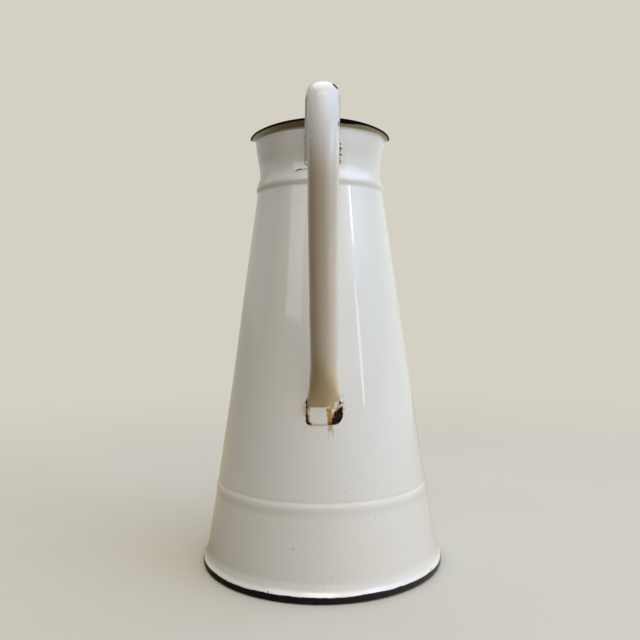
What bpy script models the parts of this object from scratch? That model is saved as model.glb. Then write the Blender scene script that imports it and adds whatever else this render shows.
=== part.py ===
"""Large enamelled sheet-steel water jug: a conical body on a flared foot band, a swaged neck collar with a
pouring lip, and a hollow strap handle.

Metres, +Z up. The origin is the centre of the foot on the table. The handle stands on the -Y side and the
lip pours towards +Y. Every radius, height and thickness below is in millimetres until add_object scales it.
Profiles are lists of (radius, z) points in a half-plane through the jug's axis.
"""

import math

import bmesh
import bpy

MILLIMETRE = 0.001

# ---- sheet and laps -------------------------------------------------------------------------------
SHEET = 0.9            # enamelled sheet: steel plus glass on both faces
GAP = 0.3              # room left at every lap, which enamel fills on the real jug
LAP_INSET = SHEET + GAP + 0.15     # how far a lapped margin's outer face lies inside its cover's
TURN_STEPS = 48        # facets round the jug

# ---- foot band and its wire -----------------------------------------------------------------------
FOOT_R = 105.0         # outermost radius of the foot
ROLL_R = 2.2           # outer radius of the foot's rolled edge
WIRE_R = 0.95          # radius of the wire inside the rolled edge
# the roll's lowest facet, from -75 to -105 degrees, lies on the table
ROLL_CENTRE = (FOOT_R - ROLL_R, ROLL_R * math.sin(math.radians(75)))
ROLL_DEGREES = (0, -25, -50, -75, -105, -135, -165, -195, -225, -250)
FLARE_Z = 13.6         # the skirt starts to flare below this height
SKIRT_LOW_R = 101.1    # skirt radius where the flare starts
SKIRT_MID_Z = 40.0     # height of the one ring between the flare and the shoulder
SHOULDER_Z = 65.5      # height of the skirt's shoulder
SHOULDER_R = 93.3      # skirt radius at its shoulder
SHOULDER_TOP = 69.3    # rounded top edge of the skirt
THINNED_Z = FLARE_Z + 20.0         # above this the skirt's inner face is held out to THINNED_R
THINNED_R = SHOULDER_R - SHEET - 0.15
# (distance inside SHOULDER_R, distance below SHOULDER_TOP)
SHOULDER_EDGE = [(1.0, 0.0), (0.45, 0.5), (0.1, 1.8)]
# (distance outside SKIRT_LOW_R, z)
FLARE = [(1.0, 10.3), (2.4, 7.0), (3.35, 4.4)]

# ---- body cone ------------------------------------------------------------------------------------
CONE_LOW_Z = 71.3      # where the cone leaves the foot band
CONE_LOW_R = 91.95
CONE_TOP_Z = 318.3     # top edge of the cone
CONE_TOP_R = 56.0
CONE_RINGS_Z = (236.0, 154.0)      # rings between the cone's ends
STEP_R = SHOULDER_R - SHEET - GAP - 0.25   # upright step inside the foot band's shoulder
STEP_TOP_Z = SHOULDER_TOP - 0.6
STEP_LOW_Z = SHOULDER_Z + 0.4
LAP_LOW_Z = 54.0       # lower end of the cone's margin inside the foot band

# ---- base plate -----------------------------------------------------------------------------------
FLOOR_Z = 21.0         # upper face of the pressed bottom at its rim
FLOOR_CROWN = 3.5      # how much its middle is domed up
# (radius, share of the crown)
FLOOR_DOME = [(0.0, 1.0), (34.0, 0.93), (62.0, 0.72), (80.0, 0.25), (92.0, 0.0)]
PLATE_INSET = SHEET + GAP + 0.1    # how far the flange's outer face lies inside the skirt's
RIM_FIT_DROP = 1.5     # the rim takes the skirt's radius this far below FLOOR_Z
FLANGE_BEND = 1.6      # size of the bend from the floor into the flange
FLANGE_BEND_MID = 0.45             # how far the bend's middle lies in from its corner
FLANGE_LOW_Z = 12.5    # lower edge of the turned-down flange

# ---- neck collar ----------------------------------------------------------------------------------
COLLAR_TOP_Z = 365.5   # butt joint between the neck collar and the pouring lip
COLLAR_TOP_R = 56.75
COVE_R = 53.5          # waist of the cove above the bead
COVE_Z = 341.0
COVE_POWER = 0.85      # below 1 the wall closes in earlier than a plain cosine
COVE_STEPS = 7
BEAD_R = 56.5          # crown of the swaged bead
BEAD_Z = 326.0
BEAD_STEPS = 5
# (distance inside BEAD_R, distance below BEAD_Z)
BEAD_UNDERSIDE = [(0.15, 2.6), (0.65, 4.8)]
COLLAR_SEAT_Z = CONE_TOP_Z + 1.3   # where the bead's underside ends, just above the cone
COLLAR_SEAT_R = CONE_TOP_R - 0.95
COLLAR_MARGIN_Z = (CONE_TOP_Z - 0.6, 308.5)    # ends of the collar's margin inside the cone

# ---- pouring lip ----------------------------------------------------------------------------------
LIP_R = 61.2           # radius of the lip's edge round the back
LIP_SIDE_Z = 369.3     # height of the lip's edge at the sides
LIP_BACK_RISE = 3.0    # extra height of the lip's edge at the back, beside the handle
LIP_BACK_SPREAD = 75.0             # degrees from the back over which that rise fades out
SPOUT_TIP = 95.0       # how far forward the spout reaches
SPOUT_NOSE_R = 13.0    # radius of the spout's rounded nose in plan
SPOUT_SLOPE = 0.34     # how steeply the lip's edge starts to rise from the sides towards the spout
SPOUT_RISE = 23.5      # how much higher its tip is than the lip's sides
LIP_STEPS = 72         # sections round the lip
LIP_ROWS = 6           # steps up the lip's curve
SPACING_EVEN = 0.62    # even and cubed shares of the sections' spacing;
SPACING_CUBED = 0.38   # the cubed share crowds them round the spout
# the control point of the lip's curve, as shares of its reach outwards and upwards
CURVE_OUT = 0.06       # outwards, away from the spout
CURVE_OUT_SPOUT = 0.30             # added at the spout
CURVE_UP = 0.45        # upwards, at the back
CURVE_UP_SIDE = 0.92   # upwards, at the sides
CURVE_UP_SPOUT = 0.18  # taken off CURVE_UP at the spout

# ---- handle ---------------------------------------------------------------------------------------
HANDLE_SHEET = 1.0
HANDLE_RUN_R = 100.0   # distance of the handle's outer face from the jug's axis
HANDLE_TOP_Z = 396.0   # top of the loop
LOOP_R = 13.6          # outer radius of the loop's bend
LOOP_STEPS = 10
LOOP_CENTRE_Z = HANDLE_TOP_Z - LOOP_R
LEG_LOW_Z = 357.5      # start of the handle's outer line, beside the collar
LEG_STANDOFF = 2.6     # its distance from the collar there
LEG_ANGLE = math.radians(158.0)    # the leg runs into the loop here
LEAN_Z = 300.0         # above this height the run leans towards the mouth
LEAN = 0.00123         # how fast it leans, per mm of height squared
LOOP_LEAN_Z = LOOP_CENTRE_Z + 2.8  # the loop's end takes the run's slope at this height
RUN_RINGS_Z = (365.0, 345.0, 325.0, LEAN_Z, 265.0, 230.0)
RUN_LOW_Z = 190.0      # the straight run ends here and bends in to the body
BEND_R = 58.0          # radius of that bend
BEND_TURN = math.radians(31.0)
BEND_STEPS = 5
HANDLE_END_Z = 147.0   # lower end of the handle's outer line, before it is seated on the body
STRAP_DEPTH = 11.0     # depth of the strap away from its ends
STRAP_CROWN = 8.0      # height of its rounded crown away from its ends
ARCH_STEPS = 10        # steps over the crown
STRIP_COLUMNS = 8      # columns across the closing strip
SEAT_SEARCH = (-30.0, 60.0)        # range of slides tried when an end is seated on the wall
SEAT_HALVINGS = 60
VENT_R = 1.6           # the vent that lets gas out of the hollow handle while the enamel is fired
VENT_Z = 196.0
VENT_CUT_LENGTH = 12.0

# ---- handle tabs ----------------------------------------------------------------------------------
TAB_SHEET = 1.2
TAB_CORNER = 4.5       # corner radius of both tabs
TAB_CORNER_DEGREES = (0, 30, 60, 90)
TAB_ROWS = (0.3, 0.42, 0.54, 0.66) # rows between the corners, as shares of a tab's height
TAB_COLUMNS = 8
# (name, width, low z, high z)
TABS = [
    ("handle_upper_tab", 28.2, 336.0, 363.0),
    ("handle_lower_tab", 29.0, 130.0, 151.5),
]


# ---- materials ------------------------------------------------------------------------------------
def material(name, colour, roughness, metallic):
    made = bpy.data.materials.new(name)
    made.use_nodes = True
    shader = made.node_tree.nodes["Principled BSDF"]
    shader.inputs["Base Color"].default_value = (*colour, 1.0)
    shader.inputs["Roughness"].default_value = roughness
    shader.inputs["Metallic"].default_value = metallic
    made.diffuse_color = (*colour, 1.0)
    return made


def white_enamel(piece):
    return material(piece + "_enamel", colour=(0.80, 0.81, 0.82), roughness=0.18, metallic=0.0)


def bare_steel(piece):
    return material(piece + "_steel", colour=(0.42, 0.41, 0.40), roughness=0.45, metallic=1.0)


# ---- shared helpers -------------------------------------------------------------------------------
def add_object(name, shape, parent, finish=white_enamel, smooth_angle=35.0):
    """Turns a bmesh in millimetres into a named, smooth-shaded object in metres."""
    bmesh.ops.remove_doubles(shape, verts=shape.verts, dist=1e-4)
    bmesh.ops.dissolve_degenerate(shape, edges=shape.edges, dist=1e-5)
    bmesh.ops.scale(shape, vec=(MILLIMETRE,) * 3, verts=shape.verts)
    bmesh.ops.recalc_face_normals(shape, faces=shape.faces)
    mesh = bpy.data.meshes.new(name)
    shape.to_mesh(mesh)
    shape.free()
    mesh.shade_smooth()
    mesh.set_sharp_from_angle(angle=math.radians(smooth_angle))
    made = bpy.data.objects.new(name, mesh)
    bpy.context.collection.objects.link(made)
    made.data.materials.append(finish(name))
    made.parent = parent
    return made


def unit(x, y):
    length = math.hypot(x, y)
    return x / length, y / length


def on_circle(centre, radius, angle):
    return centre[0] + radius * math.cos(angle), centre[1] + radius * math.sin(angle)


def offset_line(points, distance):
    """The line at a constant distance to the left of a run of (radius, z) points, mitred at corners."""
    ways = [unit(b[0] - a[0], b[1] - a[1]) for a, b in zip(points, points[1:])]
    made = []
    for i, (radius, z) in enumerate(points):
        normals = [(-way[1], way[0]) for way in ways[max(i - 1, 0):i + 1]]
        out_r, out_z = unit(sum(n[0] for n in normals), sum(n[1] for n in normals))
        # a mitre reaches at most twice the distance
        stretch = 1.0 / max(0.5, out_r * normals[0][0] + out_z * normals[0][1])
        made.append((radius + out_r * distance * stretch, z + out_z * distance * stretch))
    return made


def sheet_section(outer):
    """A closed section: the outer line read from the top down, and the line a sheet inside it."""
    return outer + offset_line(outer, -SHEET)[::-1]


def turned(name, section, parent, closed=True, **look):
    """A turned piece: a section in the XZ plane spun once about the jug's axis."""
    shape = bmesh.new()
    verts = [shape.verts.new((radius, 0.0, z)) for radius, z in section]
    pairs = list(zip(verts, verts[1:]))
    if closed:
        pairs.append((verts[-1], verts[0]))
    edges = [shape.edges.new(pair) for pair in pairs]
    bmesh.ops.spin(
        shape, geom=verts + edges, cent=(0, 0, 0), axis=(0, 0, 1), dvec=(0, 0, 0),
        angle=math.tau, steps=TURN_STEPS, use_merge=True, use_duplicate=False,
    )
    return add_object(name, shape, parent, **look)


def skin(shape, rings):
    """Faces between neighbouring rings of vertices that all run the same way round."""
    for one, two in zip(rings, rings[1:]):
        for i in range(len(one)):
            j = (i + 1) % len(one)
            shape.faces.new((one[i], one[j], two[j], two[i]))


def close_ends(shape, rings):
    """Closes the first and last ring with a row of quads across the sheet's thickness.

    Each ring is one face of a sheet followed by its other face in reverse.
    """
    for ring, flip in ((rings[0], True), (rings[-1], False)):
        last = len(ring) - 1
        for i in range(len(ring) // 2 - 1):
            quad = (ring[i], ring[i + 1], ring[last - i - 1], ring[last - i])
            shape.faces.new(quad[::-1] if flip else quad)


def along(table, at):
    """Reads a short table of (position, value) with smooth steps; at lies within the table."""
    for (start, start_value), (end, end_value) in zip(table, table[1:]):
        if at <= end:
            break
    share = (at - start) / (end - start)
    share = share * share * (3.0 - 2.0 * share)
    return start_value + (end_value - start_value) * share


# ---- profiles of the jug --------------------------------------------------------------------------
def cone_radius(z):
    return CONE_TOP_R + (CONE_TOP_Z - z) * (CONE_LOW_R - CONE_TOP_R) / (CONE_TOP_Z - CONE_LOW_Z)


def skirt_radius(z):
    return SHOULDER_R + (SHOULDER_Z - z) * (SKIRT_LOW_R - SHOULDER_R) / (SHOULDER_Z - FLARE_Z)


def collar_line():
    """Outer line of the neck collar from its top edge down to the margin inside the cone."""
    line = [(COLLAR_TOP_R, COLLAR_TOP_Z)]
    # near-cylindrical wall that closes in to the waist of the cove
    for step in range(1, COVE_STEPS + 1):
        share = step / COVE_STEPS
        closing = (1.0 - math.cos(share * math.pi / 2.0)) ** COVE_POWER
        line.append((
            COLLAR_TOP_R - (COLLAR_TOP_R - COVE_R) * closing,
            COLLAR_TOP_Z + (COVE_Z - COLLAR_TOP_Z) * share,
        ))
    # from the cove out to the crown of the swaged bead
    for step in range(1, BEAD_STEPS + 1):
        share = step / BEAD_STEPS
        line.append((
            COVE_R + (BEAD_R - COVE_R) * 0.5 * (1.0 - math.cos(math.pi * share)),
            COVE_Z + (BEAD_Z - COVE_Z) * share,
        ))
    line += [(BEAD_R - inset, BEAD_Z - drop) for inset, drop in BEAD_UNDERSIDE]
    line.append((COLLAR_SEAT_R, COLLAR_SEAT_Z))
    line += [(cone_radius(z) - LAP_INSET, z) for z in COLLAR_MARGIN_Z]
    return line


COLLAR = collar_line()


def collar_radius(z):
    """Outer radius of the collar at a height; above its top edge the top radius carries on."""
    for (high_r, high_z), (low_r, low_z) in zip(COLLAR, COLLAR[1:]):
        if low_z <= z <= high_z:
            return high_r + (low_r - high_r) * (high_z - z) / (high_z - low_z)
    return COLLAR_TOP_R


def wall_radius(z):
    """Outer radius of the jug's wall where the handle can touch it."""
    return collar_radius(z) if z > COLLAR_SEAT_Z else cone_radius(z)


# ---- turned pieces --------------------------------------------------------------------------------
def build_body_cone(parent):
    outer = [
        (CONE_TOP_R, CONE_TOP_Z),
        *((cone_radius(z), z) for z in CONE_RINGS_Z),
        (CONE_LOW_R, CONE_LOW_Z),
        (STEP_R, STEP_TOP_Z),
        (STEP_R, STEP_LOW_Z),
        (skirt_radius(LAP_LOW_Z) - LAP_INSET, LAP_LOW_Z),
    ]
    turned("body_cone", sheet_section(outer), parent)


def build_foot_band(parent):
    outer = [(SHOULDER_R - inset, SHOULDER_TOP - drop) for inset, drop in SHOULDER_EDGE]
    outer += [
        (SHOULDER_R, SHOULDER_Z),
        (skirt_radius(SKIRT_MID_Z), SKIRT_MID_Z),
        (SKIRT_LOW_R, FLARE_Z),
    ]
    outer += [(SKIRT_LOW_R + spread, z) for spread, z in FLARE]
    # the edge rolls inwards and up round the wire, and stops short of the skirt
    outer += [on_circle(ROLL_CENTRE, ROLL_R, math.radians(angle)) for angle in ROLL_DEGREES]
    # the top edge is thinned on its inner face, where the cone's margin steps in beneath it
    inner = [
        (max(radius, THINNED_R), z) if z > THINNED_Z else (radius, z)
        for radius, z in offset_line(outer, -SHEET)
    ]
    turned("foot_band", outer + inner[::-1], parent)


def build_foot_wire(parent):
    section = [on_circle(ROLL_CENTRE, WIRE_R, math.radians(angle)) for angle in range(0, 360, 45)]
    turned("foot_wire", section, parent, finish=bare_steel, smooth_angle=60.0)


def build_base_plate(parent):
    rim = skirt_radius(FLOOR_Z - RIM_FIT_DROP) - PLATE_INSET
    upper = [(radius, FLOOR_Z + FLOOR_CROWN * share) for radius, share in FLOOR_DOME]
    upper += [
        (rim - FLANGE_BEND, FLOOR_Z),
        (rim - FLANGE_BEND_MID, FLOOR_Z - FLANGE_BEND_MID),
        (rim, FLOOR_Z - FLANGE_BEND),
        (skirt_radius(FLANGE_LOW_Z) - PLATE_INSET, FLANGE_LOW_Z),
    ]
    # the under face starts exactly on the axis, so that the spun plate closes there
    under = [(0.0, FLOOR_Z + FLOOR_CROWN - SHEET)] + offset_line(upper, -SHEET)[1:]
    turned("base_plate", upper + under[::-1], parent, closed=False)


def build_neck_collar(parent):
    turned("neck_collar", sheet_section(COLLAR), parent)


# ---- pouring lip ----------------------------------------------------------------------------------
def lip_edge(azimuth):
    """Radius and height of the lip's edge, azimuth measured from the spout (+Y)."""
    azimuth = abs(azimuth)
    nose_y = SPOUT_TIP - SPOUT_NOSE_R
    taper = math.asin((LIP_R - SPOUT_NOSE_R) / nose_y)
    back_joint = math.pi / 2.0 - taper    # the straight sides touch the round back here
    nose_joint = math.atan2(*on_circle((0.0, nose_y), SPOUT_NOSE_R, taper))
    if azimuth >= back_joint:
        radius = LIP_R
    elif azimuth >= nose_joint:
        radius = LIP_R / math.cos(back_joint - azimuth)    # along the straight side
    else:
        across = nose_y * math.sin(azimuth)
        radius = nose_y * math.cos(azimuth) + math.sqrt(SPOUT_NOSE_R ** 2 - across ** 2)
    z = LIP_SIDE_Z
    from_back = math.degrees(math.pi - azimuth)
    if from_back < LIP_BACK_SPREAD:
        z += LIP_BACK_RISE * 0.5 * (1.0 + math.cos(math.pi * from_back / LIP_BACK_SPREAD))
    forward = radius * math.cos(azimuth)
    if forward > 0:
        fall_off = (SPOUT_SLOPE * SPOUT_TIP - SPOUT_RISE) / SPOUT_TIP ** 2
        z += SPOUT_SLOPE * forward - fall_off * forward ** 2
    return radius, z


def lip_section(azimuth):
    """Closed section of the lip: a quadratic curve up to the edge, and its inner face back down."""
    low = (COLLAR_TOP_R, COLLAR_TOP_Z + GAP)
    edge = lip_edge(azimuth)
    front = max(0.0, math.cos(azimuth)) ** 1.5
    side = abs(math.sin(azimuth)) ** 2
    shares = (
        CURVE_OUT + CURVE_OUT_SPOUT * front,
        CURVE_UP * (1.0 - side) + CURVE_UP_SIDE * side - CURVE_UP_SPOUT * front,
    )
    control = [start + share * (end - start) for start, share, end in zip(low, shares, edge)]
    outer = []
    for row in range(LIP_ROWS + 1):
        t = row / LIP_ROWS
        outer.append(tuple(
            (1 - t) ** 2 * start + 2 * t * (1 - t) * middle + t * t * end
            for start, middle, end in zip(low, control, edge)
        ))
    # the lower edge is cut level, to butt on the collar
    inner = [(low[0] - SHEET, low[1])] + offset_line(outer, SHEET)[1:]
    return outer + inner[::-1]


def build_pouring_lip(parent):
    """The flared lip: a sheet that rises from the collar's top edge and turns out to its own edge."""
    shape = bmesh.new()
    rings = []
    for i in range(LIP_STEPS):
        place = i / LIP_STEPS * 2.0 - 1.0
        azimuth = math.pi * (SPACING_EVEN * place + SPACING_CUBED * place ** 3)
        rings.append([
            shape.verts.new((radius * math.sin(azimuth), radius * math.cos(azimuth), z))
            for radius, z in lip_section(azimuth)
        ])
    skin(shape, rings + [rings[0]])
    add_object("pouring_lip", shape, parent)


# ---- handle ---------------------------------------------------------------------------------------
def run_radius(z):
    """Distance of the run's outer face from the axis: upright, then leaning towards the mouth."""
    return HANDLE_RUN_R - LEAN * max(0.0, z - LEAN_Z) ** 2


def run_slope(z):
    return 2.0 * LEAN * max(0.0, z - LEAN_Z)


def arc_point(centre, radius, angle):
    """A path entry on an arc that is followed clockwise."""
    return (*on_circle(centre, radius, angle), math.sin(angle), -math.cos(angle))


def handle_path():
    """The line of the strap's outer face, from the collar over the loop to the body.

    Each entry is (radius, z, direction radius, direction z).
    """
    lean_angle = math.atan(run_slope(LOOP_LEAN_Z))
    loop_end_z = LOOP_CENTRE_Z + LOOP_R * math.sin(lean_angle)
    loop_centre = (run_radius(loop_end_z) - LOOP_R * math.cos(lean_angle), LOOP_CENTRE_Z)
    leg_r = wall_radius(LEG_LOW_Z) + LEG_STANDOFF
    join_r, join_z = on_circle(loop_centre, LOOP_R, LEG_ANGLE)
    leg_reach, leg_rise = join_r - leg_r, join_z - LEG_LOW_Z
    leg_way = unit(leg_reach, leg_rise)
    path = [
        (leg_r + leg_reach * share, LEG_LOW_Z + leg_rise * share, *leg_way)
        for share in (0.0, 0.35, 0.7)
    ]
    for step in range(LOOP_STEPS + 1):
        angle = LEG_ANGLE + (lean_angle - LEG_ANGLE) * step / LOOP_STEPS
        path.append(arc_point(loop_centre, LOOP_R, angle))
    path += [(run_radius(z), z, *unit(run_slope(z), -1.0)) for z in RUN_RINGS_Z]
    # bend in towards the body, then straight on to it
    bend_centre = (HANDLE_RUN_R - BEND_R, RUN_LOW_Z)
    for step in range(BEND_STEPS + 1):
        path.append(arc_point(bend_centre, BEND_R, -BEND_TURN * step / BEND_STEPS))
    radius, z, way_r, way_z = path[-1]
    reach = (z - HANDLE_END_Z) / -way_z
    path.append((radius + way_r * reach, HANDLE_END_Z, way_r, way_z))
    return path


def strap_sizes(path):
    """Width, depth and crown height of the strap at each path point."""
    runs = [0.0]
    for one, two in zip(path, path[1:]):
        runs.append(runs[-1] + math.hypot(two[0] - one[0], two[1] - one[1]))
    total = runs[-1]
    # each table is (distance along the path, size)
    widths = [
        (0.0, 28.0), (25.0, 26.0), (70.0, 25.2), (150.0, 23.8), (total - 30.0, 21.0), (total, 25.6),
    ]
    depths = [
        (0.0, 2.9), (12.0, 5.0), (30.0, STRAP_DEPTH), (total - 26.0, STRAP_DEPTH), (total, 7.0),
    ]
    crowns = [
        (0.0, 1.8), (12.0, 3.8), (30.0, STRAP_CROWN), (total - 26.0, STRAP_CROWN), (total, 3.0),
    ]
    return [tuple(along(table, run) for table in (widths, depths, crowns)) for run in runs]


def shell_section(width, depth, crown):
    """A U section in (across, outwards) coordinates, its crown at 0 and its open side at -depth."""
    half = width / 2.0
    inner_half, inner_rise = half - HANDLE_SHEET, crown - HANDLE_SHEET
    angles = [math.pi * step / ARCH_STEPS for step in range(ARCH_STEPS + 1)]
    outer = [(-half * math.cos(a), -crown + crown * math.sin(a)) for a in angles]
    inner = [(inner_half * math.cos(a), -crown + inner_rise * math.sin(a)) for a in angles]
    return [
        (-half, -depth), *outer, (half, -depth),
        (inner_half, -depth), *inner, (-inner_half, -depth),
    ]


def strip_section(width, depth, _crown):
    """The flat strip that closes the U, in columns fine enough for its ends to follow the wall."""
    half = width / 2.0 - HANDLE_SHEET - GAP
    columns = [half * (2.0 * i / STRIP_COLUMNS - 1.0) for i in range(STRIP_COLUMNS + 1)]
    return [(x, -depth + HANDLE_SHEET) for x in columns] + [(x, -depth) for x in columns[::-1]]


def seat(across, radius, z, way_r, way_z):
    """Slides a point of the strap along a direction until it stands a gap clear of the tab."""
    clearance = GAP + TAB_SHEET + GAP
    low, high = SEAT_SEARCH
    for _ in range(SEAT_HALVINGS):
        middle = (low + high) / 2.0
        from_axis = math.hypot(across, radius + way_r * middle)
        if from_axis - wall_radius(z + way_z * middle) - clearance > 0:
            low = middle
        else:
            high = middle
    return radius + way_r * low, z + way_z * low


def sweep_strap(name, section_of, parent):
    """Sweeps a section along the handle's path and seats both its ends on the wall."""
    path = handle_path()
    shape = bmesh.new()
    rings = []
    for i, ((path_r, path_z, way_r, way_z), size) in enumerate(zip(path, strap_sizes(path))):
        ring = []
        for across, out in section_of(*size):
            # outwards, away from the inside of the loop
            radius, z = path_r - way_z * out, path_z + way_r * out
            if i == 0:
                radius, z = seat(across, radius, z, -way_r, -way_z)
            elif i == len(path) - 1:
                radius, z = seat(across, radius, z, way_r, way_z)
            ring.append(shape.verts.new((across, -radius, z)))
        rings.append(ring)
    skin(shape, rings)
    close_ends(shape, rings)
    return add_object(name, shape, parent, smooth_angle=50.0)


def build_handle_outer_shell(parent):
    sweep_strap("handle_outer_shell", shell_section, parent)


def build_handle_inner_strip(parent):
    strip = sweep_strap("handle_inner_strip", strip_section, parent)
    # the firing vent is a round hole through the strip low on the handle
    bpy.ops.mesh.primitive_cylinder_add(
        vertices=24, radius=VENT_R * MILLIMETRE, depth=VENT_CUT_LENGTH * MILLIMETRE,
        location=(0.0, -(HANDLE_RUN_R - STRAP_DEPTH) * MILLIMETRE, VENT_Z * MILLIMETRE),
        rotation=(math.radians(90.0), 0.0, 0.0),
    )
    cutter = bpy.context.object
    cutter.name = "vent_cutter"
    cutter.hide_render = True
    cutter.display_type = "WIRE"
    cut = strip.modifiers.new("vent", "BOOLEAN")
    cut.operation = "DIFFERENCE"
    cut.solver = "EXACT"
    cut.object = cutter


# ---- handle tabs ----------------------------------------------------------------------------------
def tab_half_width(z, width, low, high):
    """Half width of a tab at a height, drawn in at the rounded corners."""
    near = min(z - low, high - z)
    if near >= TAB_CORNER:
        return width / 2.0
    return width / 2.0 - TAB_CORNER + math.sqrt(TAB_CORNER ** 2 - (TAB_CORNER - near) ** 2)


def grid_border(rows):
    """The vertices round the border of a grid, in order."""
    right = [row[-1] for row in rows[1:]]
    left = [row[0] for row in rows[-2:0:-1]]
    return rows[0] + right + rows[-1][-2::-1] + left


def build_tab(name, width, low, high, parent):
    """A curved tab that lies on the jug's wall with a gap under it, its four corners rounded."""
    corner = [TAB_CORNER * (1.0 - math.cos(math.radians(a))) for a in TAB_CORNER_DEGREES]
    heights = [low + rise for rise in corner]
    heights += [low + (high - low) * share for share in TAB_ROWS]
    heights += [high - drop for drop in corner[::-1]]
    shape = bmesh.new()
    layers = []
    for lift in (GAP, GAP + TAB_SHEET):
        rows = []
        for z in heights:
            radius = wall_radius(z) + lift
            half_angle = tab_half_width(z, width, low, high) / wall_radius(z)
            row = []
            for i in range(TAB_COLUMNS + 1):
                angle = half_angle * (2.0 * i / TAB_COLUMNS - 1.0)
                place = (radius * math.sin(angle), -radius * math.cos(angle), z)
                row.append(shape.verts.new(place))
            rows.append(row)
        layers.append(rows)
    for rows, flip in zip(layers, (True, False)):
        for one, two in zip(rows, rows[1:]):
            for i in range(TAB_COLUMNS):
                face = [one[i], one[i + 1], two[i + 1], two[i]]
                shape.faces.new(face[::-1] if flip else face)
    skin(shape, [grid_border(rows) for rows in layers])
    add_object(name, shape, parent)


def main():
    for old in list(bpy.data.objects):
        bpy.data.objects.remove(old, do_unlink=True)
    jug = bpy.data.objects.new("water_jug", None)
    bpy.context.collection.objects.link(jug)
    build_body_cone(jug)
    build_foot_band(jug)
    build_foot_wire(jug)
    build_base_plate(jug)
    build_neck_collar(jug)
    build_pouring_lip(jug)
    build_handle_outer_shell(jug)
    build_handle_inner_strip(jug)
    for name, width, low, high in TABS:
        build_tab(name, width, low, high, jug)


main()
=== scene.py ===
"""The looks of a large enamelled water jug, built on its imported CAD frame.

Metres, +Z up. The jug stands on z = 0 with its handle on the -Y side and its spout towards +Y.
Azimuths are measured from the handle (-Y) towards +X. Left is -X and right is +X, as seen from
the handle's side. Lengths inside the shape functions are millimetres, and a (radius, z) pair
lies in the half-plane through the jug's axis.
"""

import math
from functools import cached_property
import bpy
import bmesh
import numpy as np
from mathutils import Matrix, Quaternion, Vector


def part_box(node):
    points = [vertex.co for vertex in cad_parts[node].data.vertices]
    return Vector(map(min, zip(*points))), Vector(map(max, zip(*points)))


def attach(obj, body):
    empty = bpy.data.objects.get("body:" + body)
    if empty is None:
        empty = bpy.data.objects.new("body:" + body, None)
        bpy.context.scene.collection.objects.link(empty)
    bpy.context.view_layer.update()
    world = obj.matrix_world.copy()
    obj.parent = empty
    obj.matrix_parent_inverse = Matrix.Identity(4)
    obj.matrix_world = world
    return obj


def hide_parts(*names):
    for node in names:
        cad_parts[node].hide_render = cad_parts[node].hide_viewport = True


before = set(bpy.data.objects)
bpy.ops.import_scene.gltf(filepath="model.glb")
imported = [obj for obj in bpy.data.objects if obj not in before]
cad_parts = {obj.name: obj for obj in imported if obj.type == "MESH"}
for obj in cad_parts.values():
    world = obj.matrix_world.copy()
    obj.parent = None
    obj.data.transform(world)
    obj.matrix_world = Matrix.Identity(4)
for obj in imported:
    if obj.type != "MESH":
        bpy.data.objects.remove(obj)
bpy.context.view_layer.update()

MM = 0.001


# ---- sizes taken from the CAD pieces, in mm ----
def box_mm(node):
    low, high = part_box(node)
    return np.array(low) / MM, np.array(high) / MM


def z_range(node):
    low, high = box_mm(node)
    return low[2], high[2]


FOOT_R, _, BAND_TOP = box_mm("foot_band")[1]
CONE_TOP = z_range("body_cone")[1]
COLLAR_TOP = z_range("neck_collar")[1]
LIP_R, SPOUT_TIP, LIP_TOP = box_mm("pouring_lip")[1]
RUN_R = -box_mm("handle_outer_shell")[0][1]
HANDLE_END, HANDLE_TOP = z_range("handle_outer_shell")
PLATE_LOW, PLATE_TOP = z_range("base_plate")
UPPER_TAB_LOW, UPPER_TAB_TOP = z_range("handle_upper_tab")
LOWER_TAB_LOW, LOWER_TAB_TOP = z_range("handle_lower_tab")

SHEET = 0.9            # thickness of the body's sheet


# ---- numeric tools ----
def smoothstep(zero, one, value):
    t = np.clip((np.asarray(value, float) - zero) / (one - zero), 0.0, 1.0)
    return t * t * (3.0 - 2.0 * t)


def lattice(column, row, seed):
    """A fixed pseudo-random number in 0..1 for each lattice point."""
    mixed = column.astype(np.int64) * 374761393 + row.astype(np.int64) * 668265263
    mixed = (mixed + seed * 2246822519) & 0xFFFFFFFF
    mixed = ((mixed ^ (mixed >> 13)) * 1274126177) & 0xFFFFFFFF
    return ((mixed ^ (mixed >> 16)) & 0xFFFF) / 65535.0


def value_noise(x, y, seed, octaves):
    """Fractal value noise in -1..1."""
    total, gain, weight = 0.0, 1.0, 0.0
    for octave in range(seed, seed + octaves):
        column, row = np.floor(x), np.floor(y)
        right, up = x - column, y - row
        right, up = right * right * (3 - 2 * right), up * up * (3 - 2 * up)
        low = lattice(column, row, octave) * (1 - right) + lattice(column + 1, row, octave) * right
        high = lattice(column, row + 1, octave) * (1 - right)
        high = high + lattice(column + 1, row + 1, octave) * right
        total = total + gain * (low * (1 - up) + high * up)
        weight += gain
        gain *= 0.5
        x, y = x * 2.03 + 17.1, y * 2.03 - 9.7
    return total / weight * 2.0 - 1.0


def lengths(line):
    """The distance run along a line at each of its points."""
    return np.concatenate([[0.0], np.cumsum(np.hypot(*np.diff(line, axis=0).T))])


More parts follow.
